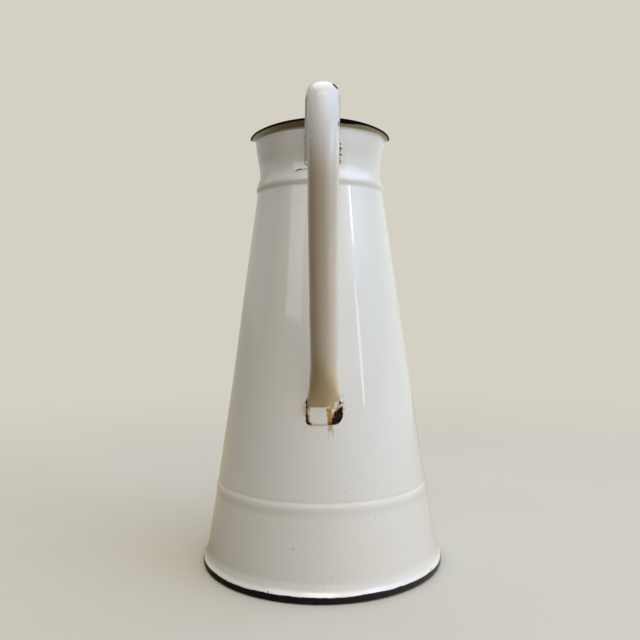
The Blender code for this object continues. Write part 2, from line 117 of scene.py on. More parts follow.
def spline(points, step):
    """A natural cubic spline over chord length through (radius, z) points, one point per step."""
    points = np.asarray(points, float)
    knots = lengths(points)
    count = len(knots)
    gaps = np.diff(knots)
    system, target = np.zeros((count, count)), np.zeros((count, 2))
    system[0, 0] = system[-1, -1] = 1.0
    for i in range(1, count - 1):
        system[i, i - 1:i + 2] = gaps[i - 1], 2 * (gaps[i - 1] + gaps[i]), gaps[i]
        slopes = (points[i + 1] - points[i]) / gaps[i], (points[i] - points[i - 1]) / gaps[i - 1]
        target[i] = 6 * (slopes[0] - slopes[1])
    bend = np.linalg.solve(system, target)
    at = np.linspace(0.0, knots[-1], max(2, int(round(knots[-1] / step)) + 1))
    i = np.clip(np.searchsorted(knots, at, side="right") - 1, 0, count - 2)
    gap, past, ahead = gaps[i][:, None], (at - knots[i])[:, None], (knots[i + 1] - at)[:, None]
    return (
        (bend[i] * ahead ** 3 + bend[i + 1] * past ** 3) / (6 * gap)
        + (points[i] / gap - bend[i] * gap / 6) * ahead
        + (points[i + 1] / gap - bend[i + 1] * gap / 6) * past
    )


def arc(centre, radius, start, stop, count):
    angles = np.radians(np.linspace(start, stop, count))
    return np.stack(
        [centre[0] + radius * np.cos(angles), centre[1] + radius * np.sin(angles)], axis=1)


def left_normals(line):
    way = np.gradient(line, axis=0)
    way /= np.maximum(1e-9, np.hypot(way[:, 0], way[:, 1]))[:, None]
    return np.stack([-way[:, 1], way[:, 0]], axis=1)


def half_round(first, last, way, count=5):
    """Points on the half circle from first to last that bulges along way, without its ends."""
    centre, radius = (first + last) / 2, np.hypot(*(last - first)) / 2
    side = (first - last) / (2 * radius)
    front = way / np.hypot(*way)
    angles = np.linspace(0, math.pi, count + 2)[1:-1, None]
    return centre + radius * (np.cos(angles) * side + np.sin(angles) * front)


def sheet_loop(outer, thickness, round_end=False):
    """The closed section of a sheet whose outer face is a top-down line."""
    inner = outer - left_normals(outer) * thickness
    parts = [outer]
    if round_end:
        parts.append(half_round(outer[-1], inner[-1], outer[-1] - outer[-2]))
    return np.concatenate([*parts, inner[::-1]])


# ---- mesh tools ----
SHARP = 42.0           # degrees; edges bent more than this stay sharp


def add_object(name, data):
    made = bpy.data.objects.new(name, data)
    bpy.context.scene.collection.objects.link(made)
    return made


def smooth_object(name, mesh, sharp):
    mesh.shade_smooth()
    mesh.set_sharp_from_angle(angle=math.radians(sharp))
    return add_object(name, mesh)


def mesh_object(name, points, faces, attributes=None, sharp=SHARP):
    """A smooth-shaded object of quads, turned to face away from the origin overall."""
    points = np.asarray(points, float) * MM
    corners = points[faces]
    normals = np.cross(corners[:, 2] - corners[:, 0], corners[:, 3] - corners[:, 1])
    if np.einsum("ij,ij->", normals, corners.mean(axis=1)) < 0:
        faces = faces[:, ::-1]
    mesh = bpy.data.meshes.new(name)
    mesh.from_pydata(points.tolist(), [], faces.tolist())
    mesh.update()
    for key, values in (attributes or {}).items():
        layer = mesh.attributes.new(key, "FLOAT", "POINT")
        layer.data.foreach_set("value", np.asarray(values, np.float32).ravel())
    return smooth_object(name, mesh, sharp)


def grid_faces(rows, columns, open_rows=False, open_columns=False):
    """Quads of a grid of points stored row by row, closed on itself unless left open."""
    i, j = np.meshgrid(
        np.arange(rows - open_rows), np.arange(columns - open_columns), indexing="ij")
    here, there = i * columns, (i + 1) % rows * columns
    beside = (j + 1) % columns
    return np.stack([here + j, there + j, there + beside, here + beside], axis=-1).reshape(-1, 4)


def wobble(azimuth, z):
    """How far the hand-worked sheet stands off a true surface of revolution."""
    waves = 0.10 * np.sin(2 * azimuth + 0.7 + z / 150.0)
    waves = waves + 0.055 * np.sin(5 * azimuth - z / 61.0 + 1.9)
    waves = waves + 0.045 * np.sin(7 * azimuth + z / 47.0 + 0.4)
    waves = waves + 0.03 * np.sin(11 * azimuth - z / 33.0 + 2.6) * np.sin(z / 71.0 + 0.8)
    waves = waves + 0.02 * np.sin(17 * azimuth + z / 23.0 + 5.1) * np.sin(z / 39.0 - 1.3)
    return waves * (1.0 - 0.75 * smoothstep(300.0, 345.0, z))


def place(radius, azimuth, z):
    return np.stack([radius * np.sin(azimuth), -radius * np.cos(azimuth), z], axis=-1)


def turn_section(section, count):
    """Azimuth, radius and z grids of a section swept round the jug's axis."""
    azimuths = np.linspace(0, 2 * math.pi, count, endpoint=False)
    azimuth, radius = np.meshgrid(azimuths, section[:, 0], indexing="ij")
    return azimuth, radius, np.broadcast_to(section[:, 1], radius.shape)


def turned(name, section, count, relief=None):
    """A turned piece with the sheet's wobble. relief(azimuth, z) is an extra radial offset."""
    azimuth, radius, z = turn_section(section, count)
    radius = radius + wobble(azimuth, z)
    if relief is not None:
        radius = radius + relief(azimuth, z)
    points = place(radius, azimuth, z).reshape(-1, 3)
    return mesh_object(name, points, grid_faces(count, len(section)))


# ---- the jug's outline ----
CONE_TOP_R = 56.0
CONE_TAPER = 0.1455    # radius gained per mm down


def cone_r(z):
    """Outer radius of the cone: a rolled sheet, very slightly hollow around z = 155."""
    z = np.asarray(z, float)
    hollow = 0.62 * np.exp(-(((z - 155.0) / 62.0) ** 2))
    return CONE_TOP_R + CONE_TAPER * (CONE_TOP - z) - hollow


# The foot band's outer face, (radius, z) from the top down, then its rolled edge.
ROLL_R = 2.2
ROLL_Z = 2.125
ROLL_POINTS = 26
BAND_FACE = spline([
    (91.95, BAND_TOP + 2.2), (92.12, BAND_TOP + 1.5), (92.55, BAND_TOP + 0.35),
    (92.95, BAND_TOP - 1.1), (93.22, BAND_TOP - 2.8), (93.36, 64.4), (93.52, 61.6), (94.02, 58.1),
    (95.10, 51.3), (96.18, 44.4), (97.28, 37.6), (98.38, 30.7), (99.44, 23.9), (100.50, 17.0),
    (101.08, 13.6), (101.80, 11.2), (102.40, 9.35), (103.10, 7.95), (103.85, 6.95),
    (104.50, 6.15), (FOOT_R - 0.10, 5.1), (FOOT_R, 3.9), (FOOT_R, ROLL_Z),
], 1.0)
BAND_LINE = np.concatenate([
    BAND_FACE, arc((FOOT_R - ROLL_R, ROLL_Z), ROLL_R, -10, -250, ROLL_POINTS)])

# The collar's outer face, (radius, z) from the top down.
COLLAR_POINTS = [
    (56.85, COLLAR_TOP), (56.60, 362.7), (56.30, 360.1), (55.98, 357.4), (55.60, 354.8),
    (55.18, 352.1), (54.70, 349.5), (54.20, 346.8), (53.82, 344.2), (53.58, 341.5),
    (53.47, 338.9), (53.50, 336.4), (53.80, 334.0), (54.45, 331.8), (55.30, 329.7),
    (56.10, 327.8), (56.58, 326.2), (56.66, 324.8), (56.42, 323.4), (55.98, 322.0),
    (55.56, 320.8), (55.32, 319.4), (55.2, 317.2), (55.2, 312.0),
]


def collar_line():
    """The collar's face, eased onto the cone where weld and enamel fill the join."""
    line = spline(COLLAR_POINTS, 0.8)
    line = line[line[:, 1] > 316.0]
    fillet = 0.17 * (1.0 - smoothstep(322.5, 326.0, line[:, 1]))
    cone = cone_r(line[:, 1])
    gap = line[:, 0] - cone
    line[:, 0] = cone + 0.5 * gap + np.sqrt(0.25 * gap ** 2 + fillet ** 2)
    return line


COLLAR_LINE = collar_line()


def wall_r(z):
    """Outer radius of the wall above the foot band."""
    z = np.asarray(z, float)
    rising = COLLAR_LINE[::-1]
    rising = rising[rising[:, 1] > 318.0]
    return np.where(z > CONE_TOP + 1.0, np.interp(z, rising[:, 1], rising[:, 0]), cone_r(z))


# ---- the body pieces ----
def build_body():
    """The cone, with a tail that runs down inside the foot band."""
    z = np.concatenate([
        np.linspace(CONE_TOP, CONE_TOP - 5.0, 15), np.linspace(CONE_TOP - 7.5, 74.0, 96)])
    tail = spline([(91.72, 72.0), (91.70, 70.0), (91.75, 67.0), (92.1, 62.0), (92.9, 55.0)], 1.5)
    outline = np.concatenate([np.stack([cone_r(z), z], axis=1), tail])
    return turned("jug_body", sheet_loop(outline, SHEET), 288)


def seam(azimuth, z):
    """The foot band's vertical weld: a soft ridge a little to the right of the handle's line."""
    degrees = np.degrees((azimuth + math.pi) % (2 * math.pi) - math.pi)
    degrees = degrees - 0.5 - 0.012 * (z - 38.0)
    ridge = 0.05 * np.exp(-((degrees / 0.5) ** 2)) + 0.15 * np.exp(-np.abs(degrees) / 6.0)
    return ridge * smoothstep(4.0, 9.0, z) * (1.0 - smoothstep(58.0, 64.0, z))


# The bottom plate's upper face, (radius, distance below its top), out to its turned-down rim.
PAN_FACE = [(0.4, 0.0), (34.0, 0.25), (62.0, 1.0), (80.0, 2.6), (92.0, 3.5), (96.6, 3.6)]
PAN_RIM = [(97.2, 3.65), (98.55, 4.15), (99.2, 5.5)]


def build_pan():
    """The pressed bottom: a turned disc closed at its middle."""
    face, rim = ([(radius, PLATE_TOP - drop) for radius, drop in table]
                 for table in (PAN_FACE, PAN_RIM))
    outline = np.concatenate([spline(face, 1.6), spline([*rim, (100.0, PLATE_LOW)], 0.5)])
    section = sheet_loop(outline, SHEET, round_end=True)
    count, size = 144, len(section)
    azimuth, radius, z = turn_section(section, count)
    points = place(radius, azimuth, z).reshape(-1, 3)
    quads = grid_faces(count, size, open_columns=True).tolist()
    top = [k * size for k in range(count)]
    under = [k * size + size - 1 for k in range(count)]
    mesh = bpy.data.meshes.new("base_pan")
    mesh.from_pydata((points * MM).tolist(), [], quads + [top[::-1], under])
    mesh.update()
    editing = bmesh.new()
    editing.from_mesh(mesh)
    bmesh.ops.recalc_face_normals(editing, faces=editing.faces)
    bmesh.ops.triangulate(editing, faces=[face for face in editing.faces if len(face.verts) > 4])
    editing.to_mesh(mesh)
    editing.free()
    return smooth_object("base_pan", mesh, SHARP)


body = build_body()
band = turned("foot_skirt", sheet_loop(BAND_LINE, SHEET * 0.98), 1080, relief=seam)
collar = turned("neck", sheet_loop(COLLAR_LINE, SHEET), 288)
pan = build_pan()


# ---- the pouring lip ----
NOSE_R = 13.0                          # rounding of the spout's tip, seen from above
TIP_Y = SPOUT_TIP - 0.2
LIP_SIDE_Z = 369.0
LIP_BACK_RISE = 3.2                    # the edge rises towards the handle
SPOUT_SLOPE = 0.34                     # and towards the spout, less and less steeply
SPOUT_RISE = LIP_TOP - 0.9 - 369.3


def lip_edge(azimuth):
    """Radius, height and angle from the spout of the lip's outer edge."""
    from_spout = np.abs(math.pi - np.abs((azimuth + math.pi) % (2 * math.pi) - math.pi))
    nose_y = TIP_Y - NOSE_R
    lean = math.asin((LIP_R - NOSE_R) / nose_y)
    # a round nose, then straight tangents out to the circle
    line_ends = math.pi / 2 - lean
    nose_ends = math.atan2(NOSE_R * math.cos(lean), nose_y + NOSE_R * math.sin(lean))
    straight = LIP_R / np.cos(np.clip(line_ends - from_spout, -1.2, 1.2))
    under_root = np.maximum(0.0, NOSE_R ** 2 - (nose_y * np.sin(from_spout)) ** 2)
    nose = nose_y * np.cos(from_spout) + np.sqrt(under_root)
    radius = np.where(from_spout >= line_ends, LIP_R,
                      np.where(from_spout >= nose_ends, straight, nose))
    back = np.degrees(math.pi - from_spout)
    rise = LIP_BACK_RISE * 0.5 * (1 + np.cos(math.pi * back / 75.0))
    z = LIP_SIDE_Z + np.where(back < 75.0, rise, 0.0)
    forward = radius * np.cos(from_spout)
    forward = 0.5 * (forward + np.sqrt(forward ** 2 + 16.0))
    forward = forward - 0.5 * np.exp(-(((radius * np.cos(from_spout)) / 30.0) ** 2)) \
        if False else soft_forward(radius * np.cos(from_spout))
    fall = (SPOUT_SLOPE * TIP_Y - SPOUT_RISE) / TIP_Y ** 2
    z = z + np.where(back > 40.0, SPOUT_SLOPE * forward - fall * forward ** 2, 0.0)
    return radius, z, from_spout


def soft_forward(forward):
    """The distance towards the spout, eased to nothing behind the axis."""
    return 0.5 * (forward + np.sqrt(forward ** 2 + 16.0)) - 0.5 * np.exp(-((forward / 30.0) ** 2))


def bent(start, corner, end, radius, count):
    """Two straight runs joined by a tight bend, a third of the points in the bend."""
    first, second = corner - start, end - corner
    first_length, second_length = np.hypot(*first), np.hypot(*second)
    enters = corner - first / first_length * min(radius, first_length * 0.8)
    leaves = corner + second / second_length * min(radius, second_length * 0.8)
    third = count // 3
    t = np.linspace(0, 1, third)[:, None]
    turn = (1 - t) ** 2 * enters + 2 * t * (1 - t) * corner + t ** 2 * leaves
    lead = start + (enters - start) * np.linspace(0, 1, third + 1)[:-1, None]
    tail = leaves + (end - leaves) * np.linspace(0, 1, count - 2 * third + 1)[1:, None]
    return np.concatenate([lead, turn, tail])


def build_lip():
    """The lip, section by section, closest together round the spout."""
    count = 420
    spread = np.linspace(-1, 1, count, endpoint=False)
    azimuth = math.pi + math.pi * (0.55 * spread + 0.45 * spread ** 3)
    radius, z, from_spout = lip_edge(azimuth)
    start = COLLAR_LINE[0]
    low_r, low_z = start
    front = np.maximum(0.0, np.cos(from_spout)) ** 1.5
    side = np.abs(np.sin(from_spout)) ** 2
    lean = 0.06 + 0.30 * front
    lift = 0.40 * (1 - side) + 0.90 * side - 0.16 * front
    rows, edge = [], []
    t = np.linspace(0, 1, 30)[:, None]
    for i in range(count):
        control = np.array([low_r + lean[i] * (radius[i] - low_r), low_z + lift[i] * (z[i] - low_z)])
        end = np.array([radius[i], z[i]])
        curve = (1 - t) ** 2 * start + 2 * (t * (1 - t)) * control + t ** 2 * end
        # at the back and sides the lip is a flat flange bent sharply out, deeper at the back
        back = math.degrees(math.pi - from_spout[i])
        crease_z = 367.2 + 3.0 * float(smoothstep(35.0, 90.0, back))
        crease = np.array([low_r + 0.30, min(crease_z, z[i] - 0.75)])
        flange = bent(start, crease, end, 0.55, len(t))
        soft = float(smoothstep(98.0, 140.0, back))
        outer = (flange * (1 - soft) + curve * soft)[::-1]    # from the edge down to the collar
        inner = outer - left_normals(outer) * SHEET
        inner[-1] = (low_r - SHEET, low_z)
        rim = half_round(inner[0], outer[0], outer[0] - outer[1], 7)
        run = lengths(outer)
        rows.append(np.concatenate([outer, inner[::-1], rim]))
        edge.append(np.concatenate([run, -run[::-1], np.zeros(len(rim))]))
    rows = np.array(rows)
    size = rows.shape[1]
    azimuth = azimuth[:, None].repeat(size, 1)
    radius = rows[..., 0] + wobble(azimuth, rows[..., 1])
    points = place(radius, azimuth, rows[..., 1]).reshape(-1, 3)
    return mesh_object("lip", points, grid_faces(count, size), {"edge_mm": edge}, sharp=60.0)


lip = build_lip()


# ---- the handle ----
LOOP_R = 13.6          # the loop over the top
LEG_Z = 357.5          # where the leg from the loop meets the wall
RUN_LOW_Z = 190.0      # the upright run ends here and bends in
BEND_R = 58.0
RUN_LEAN = 0.00123     # the run leans to the mouth with the square of the height over RUN_LEAN_Z
RUN_LEAN_Z = 300.0
TWIST_DEPTH = 6.0      # the strap twists about a line this far under its outer face
TOP_GAP = 0.2          # clearance of the strap's ends from the wall
LOW_GAP = 0.9


def run_r(z):
    return RUN_R - RUN_LEAN * np.maximum(0.0, np.asarray(z, float) - RUN_LEAN_Z) ** 2


def handle_path():
    """The strap's outer face as (radius, z) points, with unit directions and distances run."""
    loop_z = HANDLE_TOP - 0.5 - LOOP_R
    lean = math.degrees(math.atan(2 * RUN_LEAN * (loop_z + 2.8 - RUN_LEAN_Z)))
    run_top = loop_z + LOOP_R * math.sin(math.radians(lean))
    loop_r = float(run_r(run_top)) - LOOP_R * math.cos(math.radians(lean))
    loop = arc((loop_r, loop_z), LOOP_R, 158.0, lean, 40)
    leg_low = np.array([wall_r(LEG_Z) + 2.6, LEG_Z])
    leg = leg_low + (loop[0] - leg_low) * np.linspace(0, 1, 16)[:-1, None]
    run_z = np.linspace(run_top - 1.5, RUN_LOW_Z + 2.0, 90)
    run = np.stack([run_r(run_z), run_z], axis=1)
    bend = arc((RUN_R - BEND_R, RUN_LOW_Z), BEND_R, 0.0, -31.0, 24)
    way = bend[-1] - bend[-2]
    way /= np.hypot(*way)
    reach = (bend[-1, 1] - HANDLE_END) / -way[1]
    tail = bend[-1] + way * np.linspace(0, reach, 16)[1:, None]
    raw = np.concatenate([leg, loop, run, bend, tail])
    knots = lengths(raw)
    at = np.linspace(0, knots[-1], 260)
    line = np.stack([np.interp(at, knots, raw[:, 0]), np.interp(at, knots, raw[:, 1])], axis=1)
    for _ in range(14):                                       # ease the joins
        line[1:-1] = 0.25 * line[:-2] + 0.5 * line[1:-1] + 0.25 * line[2:]
    way = np.gradient(line, axis=0)
    way /= np.hypot(way[:, 0], way[:, 1])[:, None]
    return line, way, at


def ease(table, at):
    """A value read from (distance, value) stations, smoothly blended between them."""
    stations, values = np.array(table, float).T
    i = np.clip(np.searchsorted(stations, at) - 1, 0, len(stations) - 2)
    t = smoothstep(0.0, 1.0, (at - stations[i]) / (stations[i + 1] - stations[i]))
    return values[i] + (values[i + 1] - values[i]) * t


def seated_z(across, radius, z, way, clearance):
    """Height of points slid along way until they stand a clearance off the wall."""
    low, high = np.full(across.shape, -30.0), np.full(across.shape, 60.0)
    for _ in range(50):
        middle = (low + high) / 2
        distance = np.hypot(across, radius + way[0] * middle)
        over = distance - wall_r(z + way[1] * middle) - clearance
        low, high = np.where(over > 0, middle, low), np.where(over > 0, high, middle)
    return z + way[1] * low


def dress_flat(across, z):
    """The upper end is dressed down flat on its tab."""
    return np.maximum(z, UPPER_TAB_LOW + 1.8)


def cut_askew(across, z):
    """The lower end is cut askew, higher on its right."""
    return (z + 4.6 * smoothstep(-1.0, 13.0, across) ** 1.3
            - 0.8 * smoothstep(-6.0, -13.0, across))


def strap(name, section_of):
    """A section swept along the handle, from the upper end to the lower."""
    line, way, at = handle_path()
    total = at[-1]
    # stations: (distance along the strap, value)
    width = ease([
        (0, 28.6), (24, 27.4), (48, 25.4), (75, 24.9), (150, 23.8), (215, 22.0),
        (total - 34, 20.9), (total - 14, 22.6), (total, 25.8)], at)
    depth = ease([
        (0, 2.6), (12, 4.6), (30, 9.4), (66, 10.0), (120, 13.0), (total - 30, 13.0),
        (total, 6.5)], at)
    twist = ease([(0, 0.0), (60, 0.0), (120, -6.0), (total - 30, -6.0), (total, 0.0)], at)
    crown = ease([
        (0, 2.3), (12, 4.2), (30, 8.2), (46, 9.2), (66, 9.4), (120, 12.0),
        (total - 34, 12.0), (total - 12, 6.0), (total, 2.6)], at)
    aside = ease([
        (0, 0.3), (40, 0.6), (75, 0.6), (125, -0.4), (200, -0.8), (total - 40, -0.8),
        (total - 8, 0.0), (total, 0.0)], at)
    rows = []
    for i in range(len(line)):
        across, out = section_of(width[i], depth[i], crown[i])
        cosine, sine = math.cos(math.radians(twist[i])), math.sin(math.radians(twist[i]))
        out = out + TWIST_DEPTH
        across, out = across * cosine + out * sine, out * cosine - across * sine - TWIST_DEPTH
        rows.append((across + aside[i], line[i, 0] - way[i, 1] * out, line[i, 1] + way[i, 0] * out))
    # both ends run on to the wall, and the last few rings ease into them
    last = len(rows) - 1
    for ends, sign, gap, dressed in (
        (range(13), -1, TOP_GAP, dress_flat),
        (range(last, last - 9, -1), 1, LOW_GAP, cut_askew),
    ):
        across, radius, z = rows[ends[0]]
        end_z = dressed(across, seated_z(across, radius, z, way[ends[0]] * sign, gap))
        end_r = np.sqrt(np.maximum(0.0, (wall_r(end_z) + gap) ** 2 - across ** 2))
        shift_r, shift_z = end_r - radius, end_z - z
        for step, i in enumerate(ends):
            share = (1 - step / len(ends)) ** 1.5
            across, radius, z = rows[i]
            rows[i] = (across, radius + shift_r * share, z + shift_z * share)
    points = np.array([np.stack([across, -radius, z], axis=1) for across, radius, z in rows])
    count, size = points.shape[:2]
    k = np.arange(size // 2 - 1)
    cap = np.stack([k, k + 1, size - 2 - k, size - 1 - k], axis=1)
    faces = np.concatenate([
        grid_faces(count, size, open_rows=True), cap, cap[:, ::-1] + (count - 1) * size])
    along = {"along": np.repeat(at, size)}
    return mesh_object(name, points.reshape(-1, 3), faces, along, sharp=50.0)


def shell_section(width, depth, crown):
    """A U with a superellipse crown: outer face, then inner face."""
    thickness, power = 1.0, 0.92
    angles = np.linspace(0, math.pi, 41)
    legs = np.linspace(-depth, -crown, 6)[:-1]

    def face(half, rise):
        x = -np.sign(np.cos(angles)) * np.abs(np.cos(angles)) ** power * half
        y = -crown + rise * np.sin(angles) ** power
        return np.concatenate([
            np.stack([np.full(5, -half), legs], 1), np.stack([x, y], 1),
            np.stack([np.full(5, half), legs[::-1]], 1),
        ])

    outer = face(width / 2, crown)
    inner = face(width / 2 - thickness, crown - thickness)
    return np.concatenate([outer, inner[::-1]]).T


def strip_section(width, depth, crown):
    """The flat strip between the U's legs, slightly dished, its edges tucked against them."""
    spread = np.linspace(-1, 1, 15)
    across = spread * (width / 2 - 0.95)
    lower = -depth + 0.35 + 0.25 * (1 - spread ** 2)
    face = np.stack([across, lower], 1)
    back = np.stack([across, lower + 1.0], 1)
    return np.concatenate([back, face[::-1]]).T


handle = strap("handle_shell", shell_section)
strip = strap("handle_strip", strip_section)


# ---- the tabs ----
TAB_CELL = 0.3         # spacing of the height field
TAB_MARGIN = 1.5       # how far it runs past the tab's outline


def rounded_box(x, z, half_width, low, high, corner):
    """Signed distance to a rounded rectangle, negative inside."""
    past_x = np.abs(x) - (half_width - corner)
    past_z = np.abs(z - (low + high) / 2) - ((high - low) / 2 - corner)
    outside = np.hypot(np.maximum(past_x, 0), np.maximum(past_z, 0))
    return outside + np.minimum(np.maximum(past_x, past_z), 0) - corner


def polygon_distance(x, z, corners):
    """Signed distance to a polygon, negative inside."""
    best = np.full(x.shape, 1e9)
    inside = np.zeros(x.shape, bool)
    for (start_x, start_z), (end_x, end_z) in zip(corners, corners[1:] + corners[:1]):
        run_x, run_z = end_x - start_x, end_z - start_z
        along = (x - start_x) * run_x + (z - start_z) * run_z
        t = np.clip(along / (run_x * run_x + run_z * run_z), 0, 1)
        best = np.minimum(best, np.hypot(x - start_x - run_x * t, z - start_z - run_z * t))
        crosses = (start_z > z) != (end_z > z)
        inside ^= crosses & (x < start_x + (z - start_z) / run_z * run_x)
    return np.where(inside, -best, best)


def tab(name, half_width, centre_x, low, high, corner, right_corner, thickness, masks, lumps=()):
    """A plate welded on the wall: a height field that sinks under the wall outside its outline."""
    x, z = np.meshgrid(
        np.arange(-half_width - TAB_MARGIN, half_width + TAB_MARGIN + TAB_CELL, TAB_CELL),
        np.arange(low - TAB_MARGIN, high + TAB_MARGIN + TAB_CELL, TAB_CELL), indexing="ij")
    edge = rounded_box(x, z, half_width, low, high, np.where(x > 0, right_corner, corner))
    edge = edge + 0.25 * value_noise(x / 3.1, z / 3.1, seed=5, octaves=3)
    inward = np.clip(-edge / 2.2, 0, 1)
    dome = thickness * np.sqrt(np.maximum(0.0, 1 - (1 - inward) ** 2))
    lift = np.where(edge < 0, dome, 0.0)
    lift = lift - 0.3 * smoothstep(-0.05, 1.1, edge)
    lift = lift + 0.05 * value_noise(x / 4.2, z / 4.2, seed=9, octaves=3) * inward
    chip, rust = masks(x, z, edge)
    rough = np.abs(value_noise(x / 0.9, z / 0.9, seed=21, octaves=3))
    chipped = smoothstep(0.35, 0.65, chip) * smoothstep(0.45, -0.2, edge)
    lift = lift - (0.30 + 0.25 * rough) * chipped
    lift = lift + 0.10 * rust * inward * value_noise(x / 0.7, z / 0.7, seed=23, octaves=3)
    for lump_x, lump_z, size, rise in lumps:
        away = ((x - lump_x) / size) ** 2 + ((z - lump_z) / (size * 1.5)) ** 2
        lift = lift + rise * np.exp(-away)
    azimuth = np.arcsin(np.clip((x + centre_x) / wall_r(z), -0.9, 0.9))
    base = wall_r(z) + wobble(azimuth, z)
    points = np.concatenate([
        place(radius, azimuth, z).reshape(-1, 3) for radius in (base + lift, base - 0.75)])
    rows, columns = x.shape
    count = rows * columns
    top = grid_faces(rows, columns, open_rows=True, open_columns=True)
    rim = np.concatenate([
        np.arange(0, (rows - 1) * columns + 1, columns),
        np.arange((rows - 1) * columns + 1, count),
        np.arange((rows - 1) * columns - 1, columns - 2, -columns),
        np.arange(columns - 2, 0, -1),
    ])
    after = np.roll(rim, -1)
    sides = np.stack([rim, rim + count, after + count, after], axis=1)
    attributes = {
        key: np.concatenate([values.ravel(), np.zeros(count)])
        for key, values in (("chip", chip), ("rust", rust), ("edge_mm", edge))
    }
    faces = np.concatenate([top, top[:, ::-1] + count, sides])
    return mesh_object(name, points, faces, attributes, sharp=70.0)


# Outline (x, z) of the lower tab's bare corner.
BARE_CORNER = [
    (5.7, 129.0), (6.1, 135.0), (7.4, 138.6), (9.9, 141.3), (12.6, 143.2), (14.2, 143.4),
    (15.2, 141.0), (15.2, 137.0), (14.4, 134.0), (11.5, 130.0), (9.0, 128.5),
]
# Chips on the upper tab's right edge: (x, z, radius).
UPPER_CHIPS = [
    (14.6, 353.4, 0.7), (14.6, 349.6, 1.25), (14.8, 347.8, 0.8),
    (15.0, 345.2, 0.75), (14.7, 342.2, 0.5), (14.8, 339.2, 1.25),
]
# Weld lumps by the upper tab: (x, z, size, rise).
UPPER_LUMPS = [(15.9, 350.6, 0.9, 0.8), (16.1, 345.6, 1.0, 0.9), (15.7, 341.4, 0.8, 0.7)]


def lower_masks(x, z, edge):
    """Chips at the lower tab's left edge and lower right corner, and the rust beside them."""
    broad = value_noise(x / 2.2, z / 2.2, seed=31, octaves=4)
    medium = value_noise(x / 0.9, z / 0.9, seed=47, octaves=3)
    fine = value_noise(x / 0.55, z / 0.55, seed=59, octaves=2)
    left = smoothstep(-1.9, -1.1, edge + 1.6 * broad + 1.5 * medium + 0.8 * fine)
    left = left * smoothstep(-9.0, -12.0, x)
    left = left * smoothstep(-0.75, -0.25, broad + 0.5 * medium + 0.15)
    bare = polygon_distance(x, z, BARE_CORNER)
    corner = smoothstep(0.45, -0.25, bare + 0.9 * medium + 0.5 * broad)
    right = smoothstep(-1.3, -0.6, edge + 0.8 * medium) * smoothstep(12.0, 13.4, x)
    right = right * smoothstep(0.0, 0.35, broad + 0.25 + 0.5 * fine)
    right_dots = smoothstep(0.46, 0.6, fine) * smoothstep(0.1, 0.4, broad)
    right_dots = right_dots * smoothstep(6.0, 10.0, x) * (z > 140)
    left_dots = smoothstep(0.42, 0.56, fine) * smoothstep(-3.8, -1.4, edge) * (x < -8)
    corner_dots = smoothstep(1.5, 0.7, np.hypot(x - 12.6, (z - 147.5) / 1.7) + 0.6 * medium)
    chip = np.maximum.reduce([left, corner, right_dots, left_dots, right, corner_dots])

    centre = 3.4 + (143.0 - z) * 0.085
    streak = smoothstep(2.7, 1.0, np.abs(x - centre) + 0.9 * broad + 0.5 * fine)
    streak = streak * smoothstep(144.0, 141.0, z + 1.2 * broad)
    beige = 0.62 * smoothstep(0.1, 0.5, broad + 0.45)
    beige = beige * smoothstep(0.5, 2.5, x) * smoothstep(140.0, 142.5, z)
    left_rust = 0.90 * smoothstep(-4.8, -1.2, edge + 1.3 * broad + 0.8 * fine)
    left_rust = left_rust * smoothstep(-7.0, -11.5, x)
    halo = 0.75 * smoothstep(2.0, 0.2, bare + 0.8 * medium)
    rust = np.clip(np.maximum.reduce([streak, beige, left_rust, halo]), 0, 1)
    rust = rust + 0.6 * streak * smoothstep(133.6, 130.6, z + 1.5 * medium)
    rust = rust + 0.45 * streak * smoothstep(0.2, 0.6, fine) * smoothstep(139.0, 142.5, z)
    return chip, rust


def upper_masks(x, z, edge):
    """Chips along the upper tab's right edge and a few on its left."""
    broad = value_noise(x / 1.6, z / 1.9, seed=61, octaves=4)
    fine = value_noise(x / 0.6, z / 0.6, seed=67, octaves=2)
    patches = value_noise(x / 5.0, z / 2.3, seed=91, octaves=2)
    near = np.min([
        np.hypot(x + 0.5 - chip_x, z - chip_z) - radius for chip_x, chip_z, radius in UPPER_CHIPS
    ], axis=0)
    right = smoothstep(0.25, -0.1, near + 0.35 * fine)
    left = smoothstep(-13.9, -14.3, x - 0.4 * broad) * smoothstep(0.25, 0.5, patches)
    return np.maximum(right, left), smoothstep(0.9, 0.1, near) * 0.7


lower_tab = tab(
    "tab_low", half_width=14.5, centre_x=0.2, low=LOWER_TAB_LOW - 0.3, high=LOWER_TAB_TOP - 0.8,
    corner=3.4, right_corner=7.6, thickness=0.95, masks=lower_masks)
upper_tab = tab(
    "tab_high", half_width=14.9, centre_x=0.6, low=UPPER_TAB_LOW + 0.4, high=UPPER_TAB_TOP,
    corner=3.0, right_corner=3.0, thickness=1.0, masks=upper_masks, lumps=UPPER_LUMPS)

for piece, node, slot in (
    (body, "body_cone", "white_enamel"),
    (band, "foot_band", "white_enamel_navy_foot"),
    (collar, "neck_collar", "white_enamel"),
    (pan, "base_plate", "white_enamel"),
    (lip, "pouring_lip", "white_enamel_navy_lip"),
    (handle, "handle_outer_shell", "white_enamel"),
    (strip, "handle_inner_strip", "white_enamel"),
    (lower_tab, "handle_lower_tab", "chipped_enamel"),
    (upper_tab, "handle_upper_tab", "chipped_enamel"),
):
    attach(piece, "root")
    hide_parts(node)


